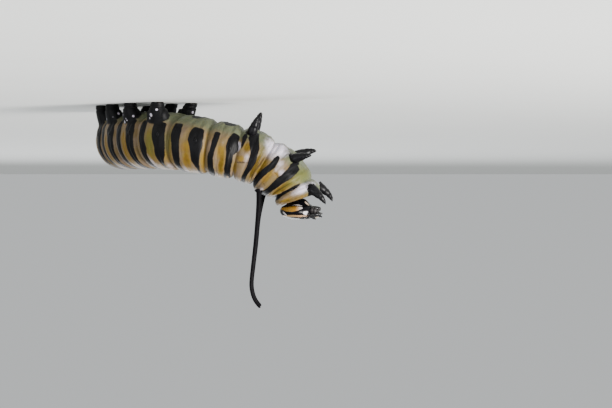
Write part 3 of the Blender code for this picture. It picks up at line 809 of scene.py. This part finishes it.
def skin_material(edge, skin_relief):
    made, t, shader = new_material("banded_skin")
    black = use_group(t, edge, Field=t.field("black"), Wander=0.13, Softness=0.035)
    # Mask of the painted shade in the creases.
    line = use_group(t, edge, Field=t.field("line"), Wander=0.06, Softness=0.055)
    proleg = use_group(t, edge, Field=t.field("proleg"), Wander=0.10, Softness=0.05)
    blotch = t.maths("SUBTRACT", t.noise(1.6 * PER_MM, 3.0), 0.5)

    def ragged(field, share):
        return t.maths("ADD", field, t.maths("MULTIPLY", blotch, share))

    warm = t.ramp(ragged(t.field("warm"), 1.1), 0.16, 0.95)
    # Mask of the skin's white and of the painted highlights along the back.
    white = t.ramp(ragged(t.field("white"), -0.7), 0.18, 1.0)
    # Mask of the painted shade in the folds and on the shaded flank.
    deep = t.ramp(ragged(t.field("deep"), 0.9), 0.25, 0.95)
    belly = t.ramp(t.field("around"), 0.66, 0.80)
    pale = t.mix(t.ramp(t.noise(0.8 * PER_MM, 3.0), 0.35, 0.65), SKIN_TAN, SKIN_MAUVE)
    pale = t.mix(belly, pale, BELLY_PALE)
    amber = t.mix(t.ramp(t.noise(2.4 * PER_MM, 3.0), 0.35, 0.7), SKIN_GOLD, SKIN_ORANGE)
    colour = t.mix(t.maths("MULTIPLY", warm, 0.86), pale, amber)
    # Darkens the gold with painted shade.
    colour = t.mix(t.maths("MULTIPLY", deep, 0.85), colour, SKIN_PAINTED_SHADE)
    colour = t.mix(t.maths("MULTIPLY", t.field("green"), 0.8), colour, SKIN_GREEN)
    # Lays on the white and the painted highlights.
    colour = t.mix(white, colour, SKIN_WHITE_AND_HIGHLIGHT)
    dark = t.maths("MAXIMUM", black, proleg)
    spots = t.add("ShaderNodeTexVoronoi")
    spots.inputs["Scale"].default_value = 1.35 * PER_MM
    t.feed(spots.inputs["Vector"], t.place())
    white_spot = t.maths("MULTIPLY", proleg, t.ramp(ragged(spots.outputs["Distance"], 0.45), 0.20, 0.13))
    white_spot = t.maths("MULTIPLY", white_spot, t.ramp(t.field("height"), 0.30, 0.42))
    # Darkens the creases with painted shade.
    colour = t.mix(t.maths("MULTIPLY", line, 0.80), colour, CREASE_SHADE_BROWN)
    colour = t.mix(dark, colour, SKIN_BLACK)
    colour = t.mix(white_spot, colour, SKIN_WHITE_AND_HIGHLIGHT)
    t.feed(shader.inputs["Base Color"], colour)
    t.feed(shader.inputs["Roughness"], t.ramp(dark, 0.0, 1.0, 0.42, 0.48))
    set_values(shader, Specular_IOR_Level=0.12, Subsurface_Weight=0.10, Subsurface_Radius=(1.0, 0.5, 0.25),
               Subsurface_Scale=0.20 * MM)
    set_bump(t, shader, use_group(t, skin_relief, Grain=0.22, Wrinkle=1.0), 0.06 * MM)
    return made


def cuticle_material(name, colour, roughness, grain=1.0, shine=0.30, coat=0.10):
    made, t, shader = new_material(name)
    lighter = tuple(c * 1.7 + 0.001 for c in colour)
    worn = t.ramp(t.noise(2.5 * PER_MM, 3.0), 0.35, 0.75)
    t.feed(shader.inputs["Base Color"], t.mix(worn, colour, lighter))
    uneven = t.ramp(t.noise(5.0 * PER_MM, 2.0), 0.3, 0.7, roughness - 0.05, roughness + 0.08)
    t.feed(shader.inputs["Roughness"], uneven)
    set_values(shader, Specular_IOR_Level=shine, Coat_Weight=coat, Coat_Roughness=0.10)
    set_bump(t, shader, t.noise(9.0 * PER_MM, 3.0), 0.006 * MM * grain)
    return made


HEAD_ORANGE = (0.250, 0.112, 0.008)
HEAD_AMBER = (0.215, 0.120, 0.026)
# White of the head's pale marks, also used for the painted highlight streak.
HEAD_WHITE_AND_HIGHLIGHT = (0.50, 0.48, 0.50)
HEAD_BLACK = (0.0022, 0.0018, 0.0028)


def head_material(edge):
    made, t, shader = new_material("head_capsule")
    pale = use_group(t, edge, Field=t.field("pale"), Wander=0.07, Softness=0.03)
    warm = t.mix(t.ramp(t.noise(1.6 * PER_MM, 2.0), 0.35, 0.70), HEAD_ORANGE, HEAD_AMBER)
    # Mixes in the white marks and the painted highlight streak.
    band = t.mix(t.field("whiteness"), warm, HEAD_WHITE_AND_HIGHLIGHT)
    t.feed(shader.inputs["Base Color"], t.mix(pale, HEAD_BLACK, band))
    t.feed(shader.inputs["Roughness"], t.ramp(t.noise(3.0 * PER_MM, 2.0), 0.3, 0.7, 0.20, 0.30))
    set_values(shader, Specular_IOR_Level=0.09)
    set_bump(t, shader, t.noise(7.0 * PER_MM, 3.0), 0.004 * MM)
    return made


# Head, in its own axes: to the left, to the crown and to the face.
HEAD_TILT, HEAD_SET, HEAD_DROP = -17.0, 0.36, 0.22
HEAD_PROFILE = (  # depth to the face, half width, to the crown, to the jaw
    (-0.50, 0.55, 0.55, 0.50), (-0.30, 0.92, 0.88, 0.76), (-0.12, 1.12, 1.10, 0.90),
    (0.00, 1.26, 1.26, 1.00), (0.14, 1.48, 1.56, 1.20), (0.34, 1.63, 1.73, 1.36), (0.59, 1.67, 1.78, 1.43),
    (0.82, 1.58, 1.70, 1.41), (1.04, 1.38, 1.50, 1.31), (1.21, 1.09, 1.20, 1.12), (1.32, 0.75, 0.84, 0.86),
    (1.38, 0.42, 0.48, 0.50),
)
HEAD_DEPTH = 1.41
HEAD_RINGS, HEAD_SIDES = 74, 128
HEAD_CAP_SHARES = (0.88, 0.76, 0.64, 0.52, 0.40, 0.28, 0.16, 0.06)
CROWN_NOTCH, CROWN_NOTCH_WIDTH, JAW_NARROWING = 0.07, 0.16, 0.18
FRONS_TOP, FRONS_FOOT = (0.0, 0.52), (0.78, -1.08)
# Grooves down the middle and beside the frons: depth, widths, and the face depth from which they show.
HEAD_GROOVE_DEPTH, MIDDLE_GROOVE_WIDTH, FRONS_GROOVE_WIDTH = 0.035, 0.055, 0.05
HEAD_GROOVE_FROM, HEAD_GROOVE_SPAN, HEAD_HEART = 0.62, 0.30, 0.45
HEAD_RING_CROWDING = 0.9


class Head:
    def __init__(self):
        tail, back, left = (Vector(v) for v in body.axes(0.0))
        turn = Matrix.Rotation(math.radians(HEAD_TILT), 3, left)
        self.face, self.crown, self.left = (np.array(v) for v in (turn @ -tail, turn @ back, left))
        self.origin = body.centre(-HEAD_SET) - self.crown * HEAD_DROP
        self.rows = np.array(HEAD_PROFILE)
        self.slopes = np.gradient(self.rows[:, 1:], self.rows[:, 0], axis=0)

    def at(self, left, crown, face):
        left, crown, face = (np.asarray(v, float)[..., None] for v in (left, crown, face))
        return self.origin + self.left * left + self.crown * crown + self.face * face

    def profile(self, depth):
        """Half width, to the crown and to the jaw at a depth, on a smooth curve through the rows."""
        d = self.rows[:, 0]
        k = int(np.clip(np.searchsorted(d, depth) - 1, 0, len(d) - 2))
        h = d[k + 1] - d[k]
        u = (depth - d[k]) / h
        a, b = self.rows[k, 1:], self.rows[k + 1, 1:]
        return (
            (2 * u**3 - 3 * u**2 + 1) * a + (u**3 - 2 * u**2 + u) * h * self.slopes[k]
            + (3 * u**2 - 2 * u**3) * b + (u**3 - u**2) * h * self.slopes[k + 1]
        )

    def ring(self, depth, angle):
        """Coordinates (left, crown, face) of the capsule at a depth, with the angle grown from the crown."""
        width, up, down = self.profile(depth)
        turn = np.radians(angle)
        high, side = np.cos(turn), np.sin(turn)
        notch = 1.0 - CROWN_NOTCH * hump(side, CROWN_NOTCH_WIDTH) * (high > 0.0)
        narrow = 1.0 - JAW_NARROWING * smooth(-high)
        tall = np.where(high > 0.0, up, down) * notch
        return np.stack([side * width * narrow, high * tall, np.full_like(high, depth)], -1)

    def surface(self, depth, angle):
        left, crown, face = self.ring(depth, np.array([float(angle)]))[0]
        return self.at(left, crown, face)


head = Head()


# Pale marks of the head on either side, as paths of (depth, angle from the crown, half width, how white).
# The second path is a painted highlight: a thin pale streak along the black rear margin. The fifth is a
# whitish patch between the bands.
HEAD_MARKS = (
    ((0.34, 20, 0.05, 0.0), (0.29, 46, 0.14, 0.0), (0.32, 61, 0.21, 0.0), (0.28, 80, 0.27, 0.0),
     (0.23, 95, 0.24, 0.0), (0.22, 106, 0.15, 0.35), (0.23, 115, 0.07, 0.9)),
    ((0.00, 66, 0.015, 0.55), (-0.05, 86, 0.04, 0.6), (-0.02, 104, 0.05, 0.7), (0.06, 118, 0.03, 0.8)),
    ((0.96, 14, 0.04, 0.35), (0.99, 34, 0.09, 0.25), (0.97, 60, 0.12, 0.10), (0.95, 85, 0.13, 0.10),
     (0.98, 108, 0.12, 0.15), (0.99, 134, 0.06, 0.30)),
    ((0.68, 122, 0.13, 0.9), (0.73, 131, 0.19, 1.0)),
    ((0.60, 46, 0.06, 0.8), (0.78, 53, 0.11, 0.95), (0.92, 57, 0.07, 0.8)),
    ((-0.20, 150, 0.12, 0.35), (-0.02, 158, 0.14, 0.35)),
)
FRONS_LINE = ((0.0, 0.66, 0.055), (0.16, 0.34, 0.05), (0.48, -0.36, 0.055), (0.78, -0.92, 0.03))
FRONS_WHITENESS, FRONS_FROM = 0.22, 0.6
MARK_STEPS = 6
MARK_BLEND = 0.10


def mark_path(rows, side):
    """The rows laid on the capsule in the head's axes, with steps between them, and how white each is."""
    path, white = [], []
    for a, b in zip(rows, rows[1:]):
        for k in range(MARK_STEPS + (b is rows[-1])):
            depth, angle, width, share = (p + (q - p) * k / MARK_STEPS for p, q in zip(a, b))
            path.append((*head.ring(depth, np.array([angle * side]))[0], width))
            white.append(share)
    return np.array(path), np.array(white)


def nearby_average(points, path, values):
    """The values along a path, averaged round each point over about the blending distance."""
    off = np.linalg.norm(points[:, None, :] - path[None, :, :3], axis=-1)
    weight = hump(off - off.min(axis=1, keepdims=True), MARK_BLEND)
    return (weight * values).sum(axis=1) / weight.sum(axis=1)


def build_head():
    angle = np.linspace(0.0, 360.0, HEAD_SIDES, endpoint=False)
    first, last = HEAD_PROFILE[0][0], HEAD_PROFILE[-1][0]
    turns = np.linspace(0.0, 1.0, HEAD_RINGS)
    depths = first + (last - first) * np.sin(turns * np.pi / 2) ** HEAD_RING_CROWDING
    own = [head.ring(d, angle) for d in depths]
    for share in HEAD_CAP_SHARES:
        inner = own[HEAD_RINGS - 1] * [share, share, 1.0]
        inner[:, 2] = HEAD_DEPTH - (HEAD_DEPTH - last) * share**2
        own.append(inner)
    count = len(own)
    own = np.vstack(own)
    on_face = np.stack([np.abs(own[:, 0]), own[:, 1]], axis=1)
    middle = hump(gap_to_line(on_face, ((0.0, 2.0, 0.0), (*FRONS_TOP, 0.0))), MIDDLE_GROOVE_WIDTH)
    beside = hump(gap_to_line(on_face, ((*FRONS_TOP, 0.0), (*FRONS_FOOT, 0.0))), FRONS_GROOVE_WIDTH)
    shown = smooth((own[:, 2] - HEAD_GROOVE_FROM) / HEAD_GROOVE_SPAN)
    sunk = HEAD_GROOVE_DEPTH * np.maximum(middle, beside) * shown
    own = own - unit(own - [0.0, 0.0, HEAD_HEART]) * sunk[:, None]
    rings = head.at(*own.T).reshape(count, HEAD_SIDES, 3)
    capsule = loft("head_capsule", rings, rear_pole=head.at(0.0, 0.0, HEAD_DEPTH))
    points = mesh_points(capsule.data) - head.origin
    own = np.stack([points @ axis for axis in (head.left, head.crown, head.face)], axis=1)
    pale = np.full(len(own), -FIELD_LIMIT)
    whiteness = np.zeros(len(own))
    for rows in HEAD_MARKS:
        for _, side in SIDES:
            path, white = mark_path(rows, side)
            gap = gap_to_line(own, path)
            whiteness = np.where(gap > pale, nearby_average(own, path, white), whiteness)
            pale = np.maximum(pale, gap)
    frons = gap_to_line(np.stack([np.abs(own[:, 0]), own[:, 1]], axis=1), FRONS_LINE)
    frons = np.where(own[:, 2] > FRONS_FROM, frons, -FIELD_LIMIT)
    whiteness = np.where(frons > pale, FRONS_WHITENESS, whiteness)
    pale = np.maximum(pale, frons)
    write_field(capsule.data, "pale", pale)
    write_field(capsule.data, "whiteness", whiteness)
    return capsule


EYELETS = ((99.0, 1.10), (107.0, 1.19), (116.0, 1.215), (125.0, 1.18), (132.0, 1.08), (115.0, 1.06))
EYELET_RADIUS, EYELET_RISE, EYELET_SUNK = 0.095, 0.055, 0.04
EYELET_RINGS, EYELET_SIDES = 7, 20


def build_eyelets():
    """Six small domes low on each side of the head."""
    domes = []
    for _, side in SIDES:
        for angle, depth in EYELETS:
            spot = head.surface(depth, angle * side)
            out = unit(spot - head.at(0.0, 0.0, 0.55))
            rings = []
            for turn in np.linspace(0.0, math.pi / 2, EYELET_RINGS, endpoint=False):
                middle = spot + out * ((EYELET_RISE + EYELET_SUNK) * math.sin(turn) - EYELET_SUNK)
                rings.append(circle(middle, out, EYELET_RADIUS * math.cos(turn), EYELET_SIDES, head.crown))
            domes.append((rings, spot - out * 0.05, spot + out * EYELET_RISE))
    return shells("eyelets", domes)


# Mouth parts, each a rounded block in the head's axes: centre, half sizes, how square it is, and its width
# and thickness at the lower edge as shares of those at the top.
MOUTH_PARTS = {
    "upper_lip": ((0.0, -1.45, 1.19), (0.50, 0.30, 0.15), 0.42, 0.80, 0.55),
    "mandible_left": ((0.34, -1.66, 0.88), (0.37, 0.42, 0.25), 0.50, 0.62, 0.42),
    "mandible_right": ((-0.34, -1.66, 0.88), (0.37, 0.42, 0.25), 0.50, 0.62, 0.42),
    "lower_lip": ((0.0, -1.52, 0.36), (0.50, 0.46, 0.24), 0.55, 0.55, 0.70),
}
BLOCK_SIDES, BLOCK_LAYERS = 40, 24
LIP_NOTCH, LIP_NOTCH_WIDTH = 0.42, 0.17
TOOTH_DEPTH, TOOTH_COUNT, MANDIBLE_LEAN = 0.035, 4, 0.06
# Maxillae and palps on either side of the lower lip, and its spinneret: root, run, radii from root to tip.
MAXILLA = ((0.50, -1.22, 0.46), (0.05, -0.50, 0.10), (0.29, 0.26))
MAXILLARY_PALP = ((0.54, -1.60, 0.54), (0.04, -0.25, 0.06), (0.165, 0.125, 0.070))
LIP_PALP = ((0.23, -1.82, 0.42), (0.03, -0.14, 0.04), (0.085, 0.055))
SPINNERET = ((0.0, -1.82, 0.36), (0.0, -0.18, -0.02), (0.110, 0.060))
PALP_SIDES = 18
# One joint of a palp: share of its length, share of its radius.
PALP_JOINT = ((0.03, 0.88), (0.12, 0.97), (0.40, 1.0), (0.80, 0.94), (0.96, 0.80))


def build_block(name, centre, half, power, low_width, low_depth):
    rings = []
    around = ring_turn(BLOCK_SIDES)
    for k in range(1, BLOCK_LAYERS):
        turn = math.pi * k / BLOCK_LAYERS
        level, share = math.cos(turn), math.sin(turn) ** power
        low = float(smooth((0.6 - level) / 1.6))
        across = half[0] * share * np.cos(around) * (1.0 + (low_width - 1.0) * low)
        deep = half[2] * share * np.sin(around) * (1.0 + (low_depth - 1.0) * low)
        edge = float(smooth(-level))
        dip = np.zeros(BLOCK_SIDES)
        if name == "upper_lip":
            dip = LIP_NOTCH * half[1] * hump(across, LIP_NOTCH_WIDTH) * edge
        elif name.startswith("mandible"):
            dip = TOOTH_DEPTH * (1.0 + np.cos(across / half[0] * np.pi * TOOTH_COUNT)) * edge
            across = across - math.copysign(MANDIBLE_LEAN, centre[0]) * low
        rings.append(head.at(centre[0] + across, centre[1] + half[1] * level + dip, centre[2] + deep))
    return loft(name, rings)


def jointed_rings(root, run, radii, side):
    """Rings of a short feeler in the head's axes, whose joints step down in radius."""
    root, run = (np.array([v[0] * side, v[1], v[2]]) for v in (root, run))
    start, along = head.at(*root), head.at(*(root + run)) - head.at(*root)
    rings = []
    for k, radius in enumerate(radii):
        for share, grow in PALP_JOINT:
            middle = start + along * (k + share) / len(radii)
            rings.append(circle(middle, along, radius * grow, PALP_SIDES, head.face))
    return rings, None, start + along


def build_lower_palps():
    """Maxillae, palps and spinneret, as one piece of closed shells."""
    parts = [jointed_rings(*rows, side) for _, side in SIDES for rows in (MAXILLA, MAXILLARY_PALP, LIP_PALP)]
    return shells("mouth_palps", [*parts, jointed_rings(*SPINNERET, 1.0)])


ANTENNA_ROOT, ANTENNA_TIP = (1.00, -1.30, 0.94), (1.30, -1.80, 1.28)
ANTENNA_PROFILE = (
    (-0.35, 0.24), (0.10, 0.23), (0.30, 0.215), (0.33, 0.165), (0.36, 0.16), (0.68, 0.15), (0.72, 0.10),
    (0.76, 0.085), (0.93, 0.075), (0.985, 0.045),
)
ANTENNA_SIDES = 24


def build_antenna(word, side):
    root, tip = (head.at(left * side, crown, face) for left, crown, face in (ANTENNA_ROOT, ANTENNA_TIP))
    run = tip - root
    rings = [circle(root + run * share, run, radius, ANTENNA_SIDES, head.crown)
             for share, radius in ANTENNA_PROFILE]
    return loft(f"antenna_{word}", rings, rear_pole=tip)


# A thoracic leg, root to tip: share of its length, radius, how far it bows out.
LEG_PROFILE = (
    (-0.22, 0.45, 0.0), (0.0, 0.46, 0.0), (0.08, 0.455, 0.02), (0.16, 0.43, 0.04), (0.23, 0.395, 0.06),
    (0.27, 0.368, 0.07), (0.29, 0.362, 0.075), (0.32, 0.370, 0.085), (0.38, 0.358, 0.10),
    (0.45, 0.322, 0.115), (0.50, 0.284, 0.12), (0.53, 0.262, 0.12), (0.55, 0.260, 0.12),
    (0.58, 0.265, 0.12), (0.64, 0.248, 0.11), (0.70, 0.214, 0.095), (0.735, 0.188, 0.085),
    (0.755, 0.184, 0.08), (0.79, 0.182, 0.07), (0.84, 0.158, 0.05), (0.88, 0.120, 0.03),
    (0.905, 0.092, 0.015), (0.935, 0.072, -0.005), (0.965, 0.050, -0.035), (0.99, 0.028, -0.08),
)
LEG_SIDES = 32
LEG_TIP_BOW = -0.11


def build_leg(segment, word, side):
    place, at, (forward, down, out) = LEG_PAIRS[segment]
    s, angle = place_in(segment, place), at * side
    root = body.skin(s, angle, np.float64(GAP))
    tail, back, left = body.axes(s)
    run = -tail * forward - back * down + left * (out * side)
    outer = left * side - back
    rings = [circle(root + run * share + outer * bow, run, radius, LEG_SIDES, tail)
             for share, radius, bow in LEG_PROFILE]
    return loft(f"leg_{segment}_{word}", rings, rear_pole=root + run + outer * LEG_TIP_BOW)


# Filaments: where they stand, their radii at foot and tip, and their path as (rise, rearwards, outwards).
FILAMENTS = {
    "front": {
        "segment": "mesothorax", "place": 0.50, "angle": 36.0, "radii": (0.27, 0.115),
        "path": (
            (-0.3, 0.0, -0.1), (0.0, 0.0, 0.0), (0.9, 0.02, 0.1), (2.4, 0.12, 0.25), (4.6, 0.32, 0.45),
            (6.6, 0.55, 0.6), (8.1, 0.70, 0.68), (9.0, 0.60, 0.7), (9.7, 0.33, 0.72), (10.3, -0.14, 0.74),
        ),
    },
    "rear": {
        "segment": "abdomen_8", "place": 0.38, "angle": 39.0, "radii": (0.25, 0.115),
        "path": (
            (-0.3, -0.05, -0.15), (0.0, 0.0, 0.0), (0.30, 0.30, 0.15), (0.37, 1.1, 0.30), (0.32, 2.1, 0.42),
            (0.10, 3.3, 0.60),
        ),
    },
}
FILAMENT_LEAN_DONE = 1.6
FILAMENT_STEPS, FILAMENT_SIDES = 22, 24
FILAMENT_TAPER = 0.8
FILAMENT_FOOT_SWELL, FILAMENT_FOOT_LENGTH = 0.55, 0.045
FILAMENT_TIP_FROM, FILAMENT_TIP_LOSS = 0.97, 0.7


def curve_point(points, t):
    place = t * (len(points) - 1)
    i = min(int(place), len(points) - 2)
    u = place - i
    p0, p1, p2, p3 = points[max(i - 1, 0)], points[i], points[i + 1], points[min(i + 2, len(points) - 1)]
    return 0.5 * (2.0 * p1 + (p2 - p0) * u + (2.0 * p0 - 5.0 * p1 + 4.0 * p2 - p3) * u**2
                  + (3.0 * p1 - p0 - 3.0 * p2 + p3) * u**3)


def build_filament(kind, word, side):
    facts = FILAMENTS[kind]
    s, angle = place_in(facts["segment"], facts["place"]), facts["angle"] * side
    base = body.skin(s, angle, np.float64(GAP))
    tail = body.axes(s)[0]
    rearward = unit(tail * LEVEL)
    outward = np.cross(rearward, UP) * side
    lean = body.skin(s, facts["angle"], np.float64(GAP)) - base
    lean = lean - outward * np.dot(lean, outward)
    points = [base + UP * rise + rearward * behind + outward * out + lean * smooth(rise / FILAMENT_LEAN_DONE)
              for rise, behind, out in facts["path"]]
    count = (len(points) - 1) * FILAMENT_STEPS
    thick, thin = facts["radii"]
    rings = []
    for k in range(count):
        t = k / count
        ahead = curve_point(points, min(t + 0.01, 1.0)) - curve_point(points, max(t - 0.01, 0.0))
        radius = thick + (thin - thick) * t**FILAMENT_TAPER
        radius *= 1.0 + FILAMENT_FOOT_SWELL * hump(t, FILAMENT_FOOT_LENGTH)
        radius *= 1.0 - FILAMENT_TIP_LOSS * smooth((t - FILAMENT_TIP_FROM) / (1.0 - FILAMENT_TIP_FROM))
        towards = np.cross(ahead, outward) * side
        rings.append(circle(curve_point(points, t), ahead, radius, FILAMENT_SIDES, towards))
    return loft(f"filament_{kind}_{word}", rings, rear_pole=points[-1])


# Spiracles: small dark ovals with a raised rim, on the first thoracic and eight abdominal segments.
SPIRACLE_SEGMENTS = ("prothorax", *(f"abdomen_{k}" for k in range(1, 9)))
SPIRACLE_SHARE, FIRST_SPIRACLE_SHARE, SPIRACLE_ANGLE = 0.23, 0.96, 103.0
SPIRACLE_PROFILE = (  # share of its half sizes, rise
    (1.35, -0.035), (1.15, 0.012), (0.95, 0.026), (0.78, 0.014), (0.66, -0.012), (0.30, -0.020),
)
SPIRACLE_HALF, SPIRACLE_SIDES = (0.090, 0.150), 16
# Hooks in an arc on the inner side of each sole.
HOOKS_EACH, HOOK_ARC, HOOK_RADIUS, HOOK_HEIGHT = 25, 270.0, 0.475, 0.075
HOOK_PATH = (  # outwards, rise, radius
    (-0.03, 0.0, 0.022), (0.03, 0.008, 0.021), (0.07, 0.0, 0.016), (0.095, -0.025, 0.010),
    (0.105, -0.05, 0.004),
)
HOOK_SIDES, HOOK_BEND = 6, 0.45


def build_spiracle_unit():
    turn = ring_turn(SPIRACLE_SIDES)
    oval = np.stack([np.cos(turn), np.sin(turn), np.zeros(SPIRACLE_SIDES)], axis=1) * [*SPIRACLE_HALF, 0.0]
    rings = [oval * share + UP * rise for share, rise in SPIRACLE_PROFILE]
    under = rings[0] * [0.8, 0.8, 1.0] - [0.0, 0.0, 0.03]
    return loft("spiracle_unit", [under, *rings])


def build_hook_unit():
    rings = []
    for k, (out, rise, radius) in enumerate(HOOK_PATH):
        centre, ahead = np.array([out, 0.0, rise]), np.array([1.0, 0.0, -k * HOOK_BEND])
        rings.append(circle(centre, ahead, radius, HOOK_SIDES, np.array([0.0, 1.0, 0.0])))
    return loft("hook_unit", rings)


def repeat_tree(name):
    """Sets a small shape on every point, turned by the point's own turn, and makes it plain mesh."""
    inputs = (("Points", "NodeSocketGeometry"), ("Shape", "NodeSocketObject"), ("Size", NUMBER),
              ("Finish", "NodeSocketMaterial"))
    tree, t, given, out = new_group(name, "GeometryNodeTree", inputs, "Mesh", "NodeSocketGeometry")
    shape = t.add("GeometryNodeObjectInfo")
    turn = t.add("GeometryNodeInputNamedAttribute", data_type="FLOAT_VECTOR")
    turn.inputs["Name"].default_value = "turn"
    place = t.add("GeometryNodeInstanceOnPoints")
    plain, finish = t.add("GeometryNodeRealizeInstances"), t.add("GeometryNodeSetMaterial")
    for socket, value in (
        (shape.inputs["Object"], given["Shape"]),
        (place.inputs["Points"], given["Points"]),
        (place.inputs["Instance"], shape.outputs["Geometry"]),
        (place.inputs["Rotation"], turn.outputs["Attribute"]),
        (place.inputs["Scale"], given["Size"]),
        (plain.inputs["Geometry"], place.outputs["Instances"]),
        (finish.inputs["Geometry"], plain.outputs["Geometry"]),
        (finish.inputs["Material"], given["Finish"]),
        (out, finish.outputs["Geometry"]),
    ):
        t.feed(socket, value)
    return tree


def repeat_shape(name, unit, spots, material, size=1.0):
    """One plain piece with the unit at every spot: a place and its axes (across, along, out)."""
    mesh = bpy.data.meshes.new(name)
    mesh.from_pydata([tuple(place * MM) for place, _ in spots], [], [])
    turns = mesh.attributes.new("turn", "FLOAT_VECTOR", "POINT")
    for row, (_, axes) in zip(turns.data, spots):
        row.vector = Matrix(np.array(axes).T.tolist()).to_euler()
    piece = bpy.data.objects.new(name, mesh)
    bpy.context.scene.collection.objects.link(piece)
    tree = repeat_tree(name + " repeat")
    change = piece.modifiers.new("repeat", "NODES")
    change.node_group = tree
    sockets = {item.name: item.identifier for item in tree.interface.items_tree if item.in_out == "INPUT"}
    for label, value in (("Shape", unit), ("Size", size), ("Finish", material)):
        change[sockets[label]] = value
    plain = plain_mesh(piece)
    piece.modifiers.clear()
    piece.data = plain
    plain.shade_smooth()
    bpy.data.objects.remove(unit, do_unlink=True)
    return piece


def build_spiracles(material):
    spots = []
    for segment in SPIRACLE_SEGMENTS:
        for _, side in SIDES:
            share = FIRST_SPIRACLE_SHARE if segment == "prothorax" else SPIRACLE_SHARE
            s, angle = place_in(segment, share), SPIRACLE_ANGLE * side
            place, before, beside = (
                body.skin(np.array([at]), np.array([turn]), relief(np.array([at]), np.array([turn])))[0]
                for at, turn in ((s, angle), (s + 0.1, angle), (s, angle + 4.0))
            )
            ahead = unit(before - place)
            out = unit(np.cross(ahead, beside - place))
            spots.append((place, (ahead, np.cross(out, ahead), out)))
    return repeat_shape("spiracles", build_spiracle_unit(), spots, material)


def build_hooks(soles, material):
    spots = []
    for sole, scale, outwards in soles:
        open_side = math.atan2(outwards[1], outwards[0])
        for k in range(HOOKS_EACH):
            turn = open_side + math.pi + math.radians(HOOK_ARC * (k / (HOOKS_EACH - 1) - 0.5))
            out = np.array([math.cos(turn), math.sin(turn), 0.0])
            place = sole + out * HOOK_RADIUS * scale + UP * HOOK_HEIGHT
            spots.append((place, (out, np.cross(UP, out), UP)))
    return repeat_shape("sole_hooks", build_hook_unit(), spots, material)


def finish_piece(piece, material, *nodes, slot_name="black_cuticle"):
    piece.data.materials.clear()
    piece.data.materials.append(material)
    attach(piece, "root")
    if nodes:
        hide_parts(*nodes)


def dress():
    edge, skin_relief = edge_group(), skin_relief_group()
    skin_finish = skin_material(edge, skin_relief)
    black = cuticle_material("black_cuticle", (0.0022, 0.0020, 0.0026), 0.24)
    feeler = cuticle_material("feeler_skin", (0.0016, 0.0013, 0.0019), 0.50, 1.6, 0.05, 0.0)
    lens = cuticle_material("eyelet_lens", (0.002, 0.0015, 0.0015), 0.16, 0.2, 0.35, 0.15)
    lip = cuticle_material("pale_lip", (0.20, 0.175, 0.15), 0.38)
    palp = cuticle_material("grey_palps", (0.016, 0.014, 0.014), 0.38, 0.5, 0.25, 0.0)
    limb = cuticle_material("leg_cuticle", (0.0018, 0.0016, 0.0022), 0.36, 0.15, 0.16, 0.0)
    horn = cuticle_material("hook_horn", (0.030, 0.012, 0.004), 0.35)
    skin, soles = build_skin()
    finish_piece(skin, skin_finish, *SEGMENTS, *(name for name, *_ in feet()), slot_name="banded_skin")
    finish_piece(build_head(), head_material(edge), "head")
    finish_piece(build_eyelets(), lens)
    finish_piece(build_spiracles(limb), limb)
    finish_piece(build_hooks(soles, horn), horn)
    for name, sizes in MOUTH_PARTS.items():
        if name == "upper_lip":
            finish_piece(build_block(name, *sizes), lip, name, slot_name="pale_lip")
        else:
            finish_piece(build_block(name, *sizes), black, name)
    finish_piece(build_lower_palps(), palp)
    for word, side in SIDES:
        finish_piece(build_antenna(word, side), black, f"antenna_{word}")
        for segment in LEG_PAIRS:
            finish_piece(build_leg(segment, word, side), limb, f"leg_{segment}_{word}")
        for kind in FILAMENTS:
            finish_piece(build_filament(kind, word, side), feeler, f"filament_{kind}_{word}")


# Stage: floor, light and camera. The photo hangs the larva upside down, so the camera is rolled half a turn.
FLOOR_HALF = 0.6
FLOOR_TONES = (0.70, 0.71, 0.69), (0.73, 0.74, 0.72)
ROOM_TONE, ROOM_LIGHT = (0.93, 0.96, 0.97, 1.0), 0.62
LAMPS = {  # place in metres, size, power, tint
    "key": ((-0.17, -0.17, 0.075), 0.10, 1.9, (1.0, 0.98, 0.95)),
    "fill": ((0.20, -0.24, 0.05), 0.16, 0.35, (0.92, 0.95, 1.0)),
    "rim": ((0.05, 0.28, 0.20), 0.16, 0.6, (0.95, 0.97, 1.0)),
}
LAMPS_AIM = (0.0, 0.0, 0.005)
CAMERA_FROM = (-8.85, -259.27, 9.3)
LENS, SENSOR = 161.8, 36.0


def build_stage():
    corners = np.array([(x, y, 0.0) for x, y in ((-1, -1), (1, -1), (1, 1), (-1, 1))])
    floor = mesh_object("floor", corners * FLOOR_HALF / MM, [(0, 1, 2, 3)], smooth_faces=False)
    pale, t, shader = new_material("pale_floor")
    t.feed(shader.inputs["Base Color"], t.mix(t.noise(60.0, 2.0), *FLOOR_TONES))
    set_values(shader, Roughness=0.9)
    floor.data.materials.append(pale)
    world = bpy.data.worlds.new("soft room")
    bpy.context.scene.world = world
    world.use_nodes = True
    background = world.node_tree.nodes["Background"]
    set_values(background, Color=ROOM_TONE, Strength=ROOM_LIGHT)
    for name, (place, size, power, tint) in LAMPS.items():
        light = bpy.data.lights.new(name, "AREA")
        light.size, light.energy, light.color = size, power, tint
        lamp = bpy.data.objects.new(name, light)
        lamp.location = place
        lamp.rotation_euler = (Vector(place) - Vector(LAMPS_AIM)).to_track_quat("Z", "Y").to_euler()
        bpy.context.scene.collection.objects.link(lamp)
    lens = bpy.data.cameras.new("photo_view")
    lens.lens, lens.sensor_width = LENS, SENSOR
    lens.clip_start, lens.clip_end = 0.01, 10.0
    camera = bpy.data.objects.new("photo_view", lens)
    bpy.context.scene.collection.objects.link(camera)
    camera.location = Vector(CAMERA_FROM) * MM
    camera.rotation_euler = (math.radians(90.0), math.radians(180.0), 0.0)
    bpy.context.scene.camera = camera


dress()
build_stage()
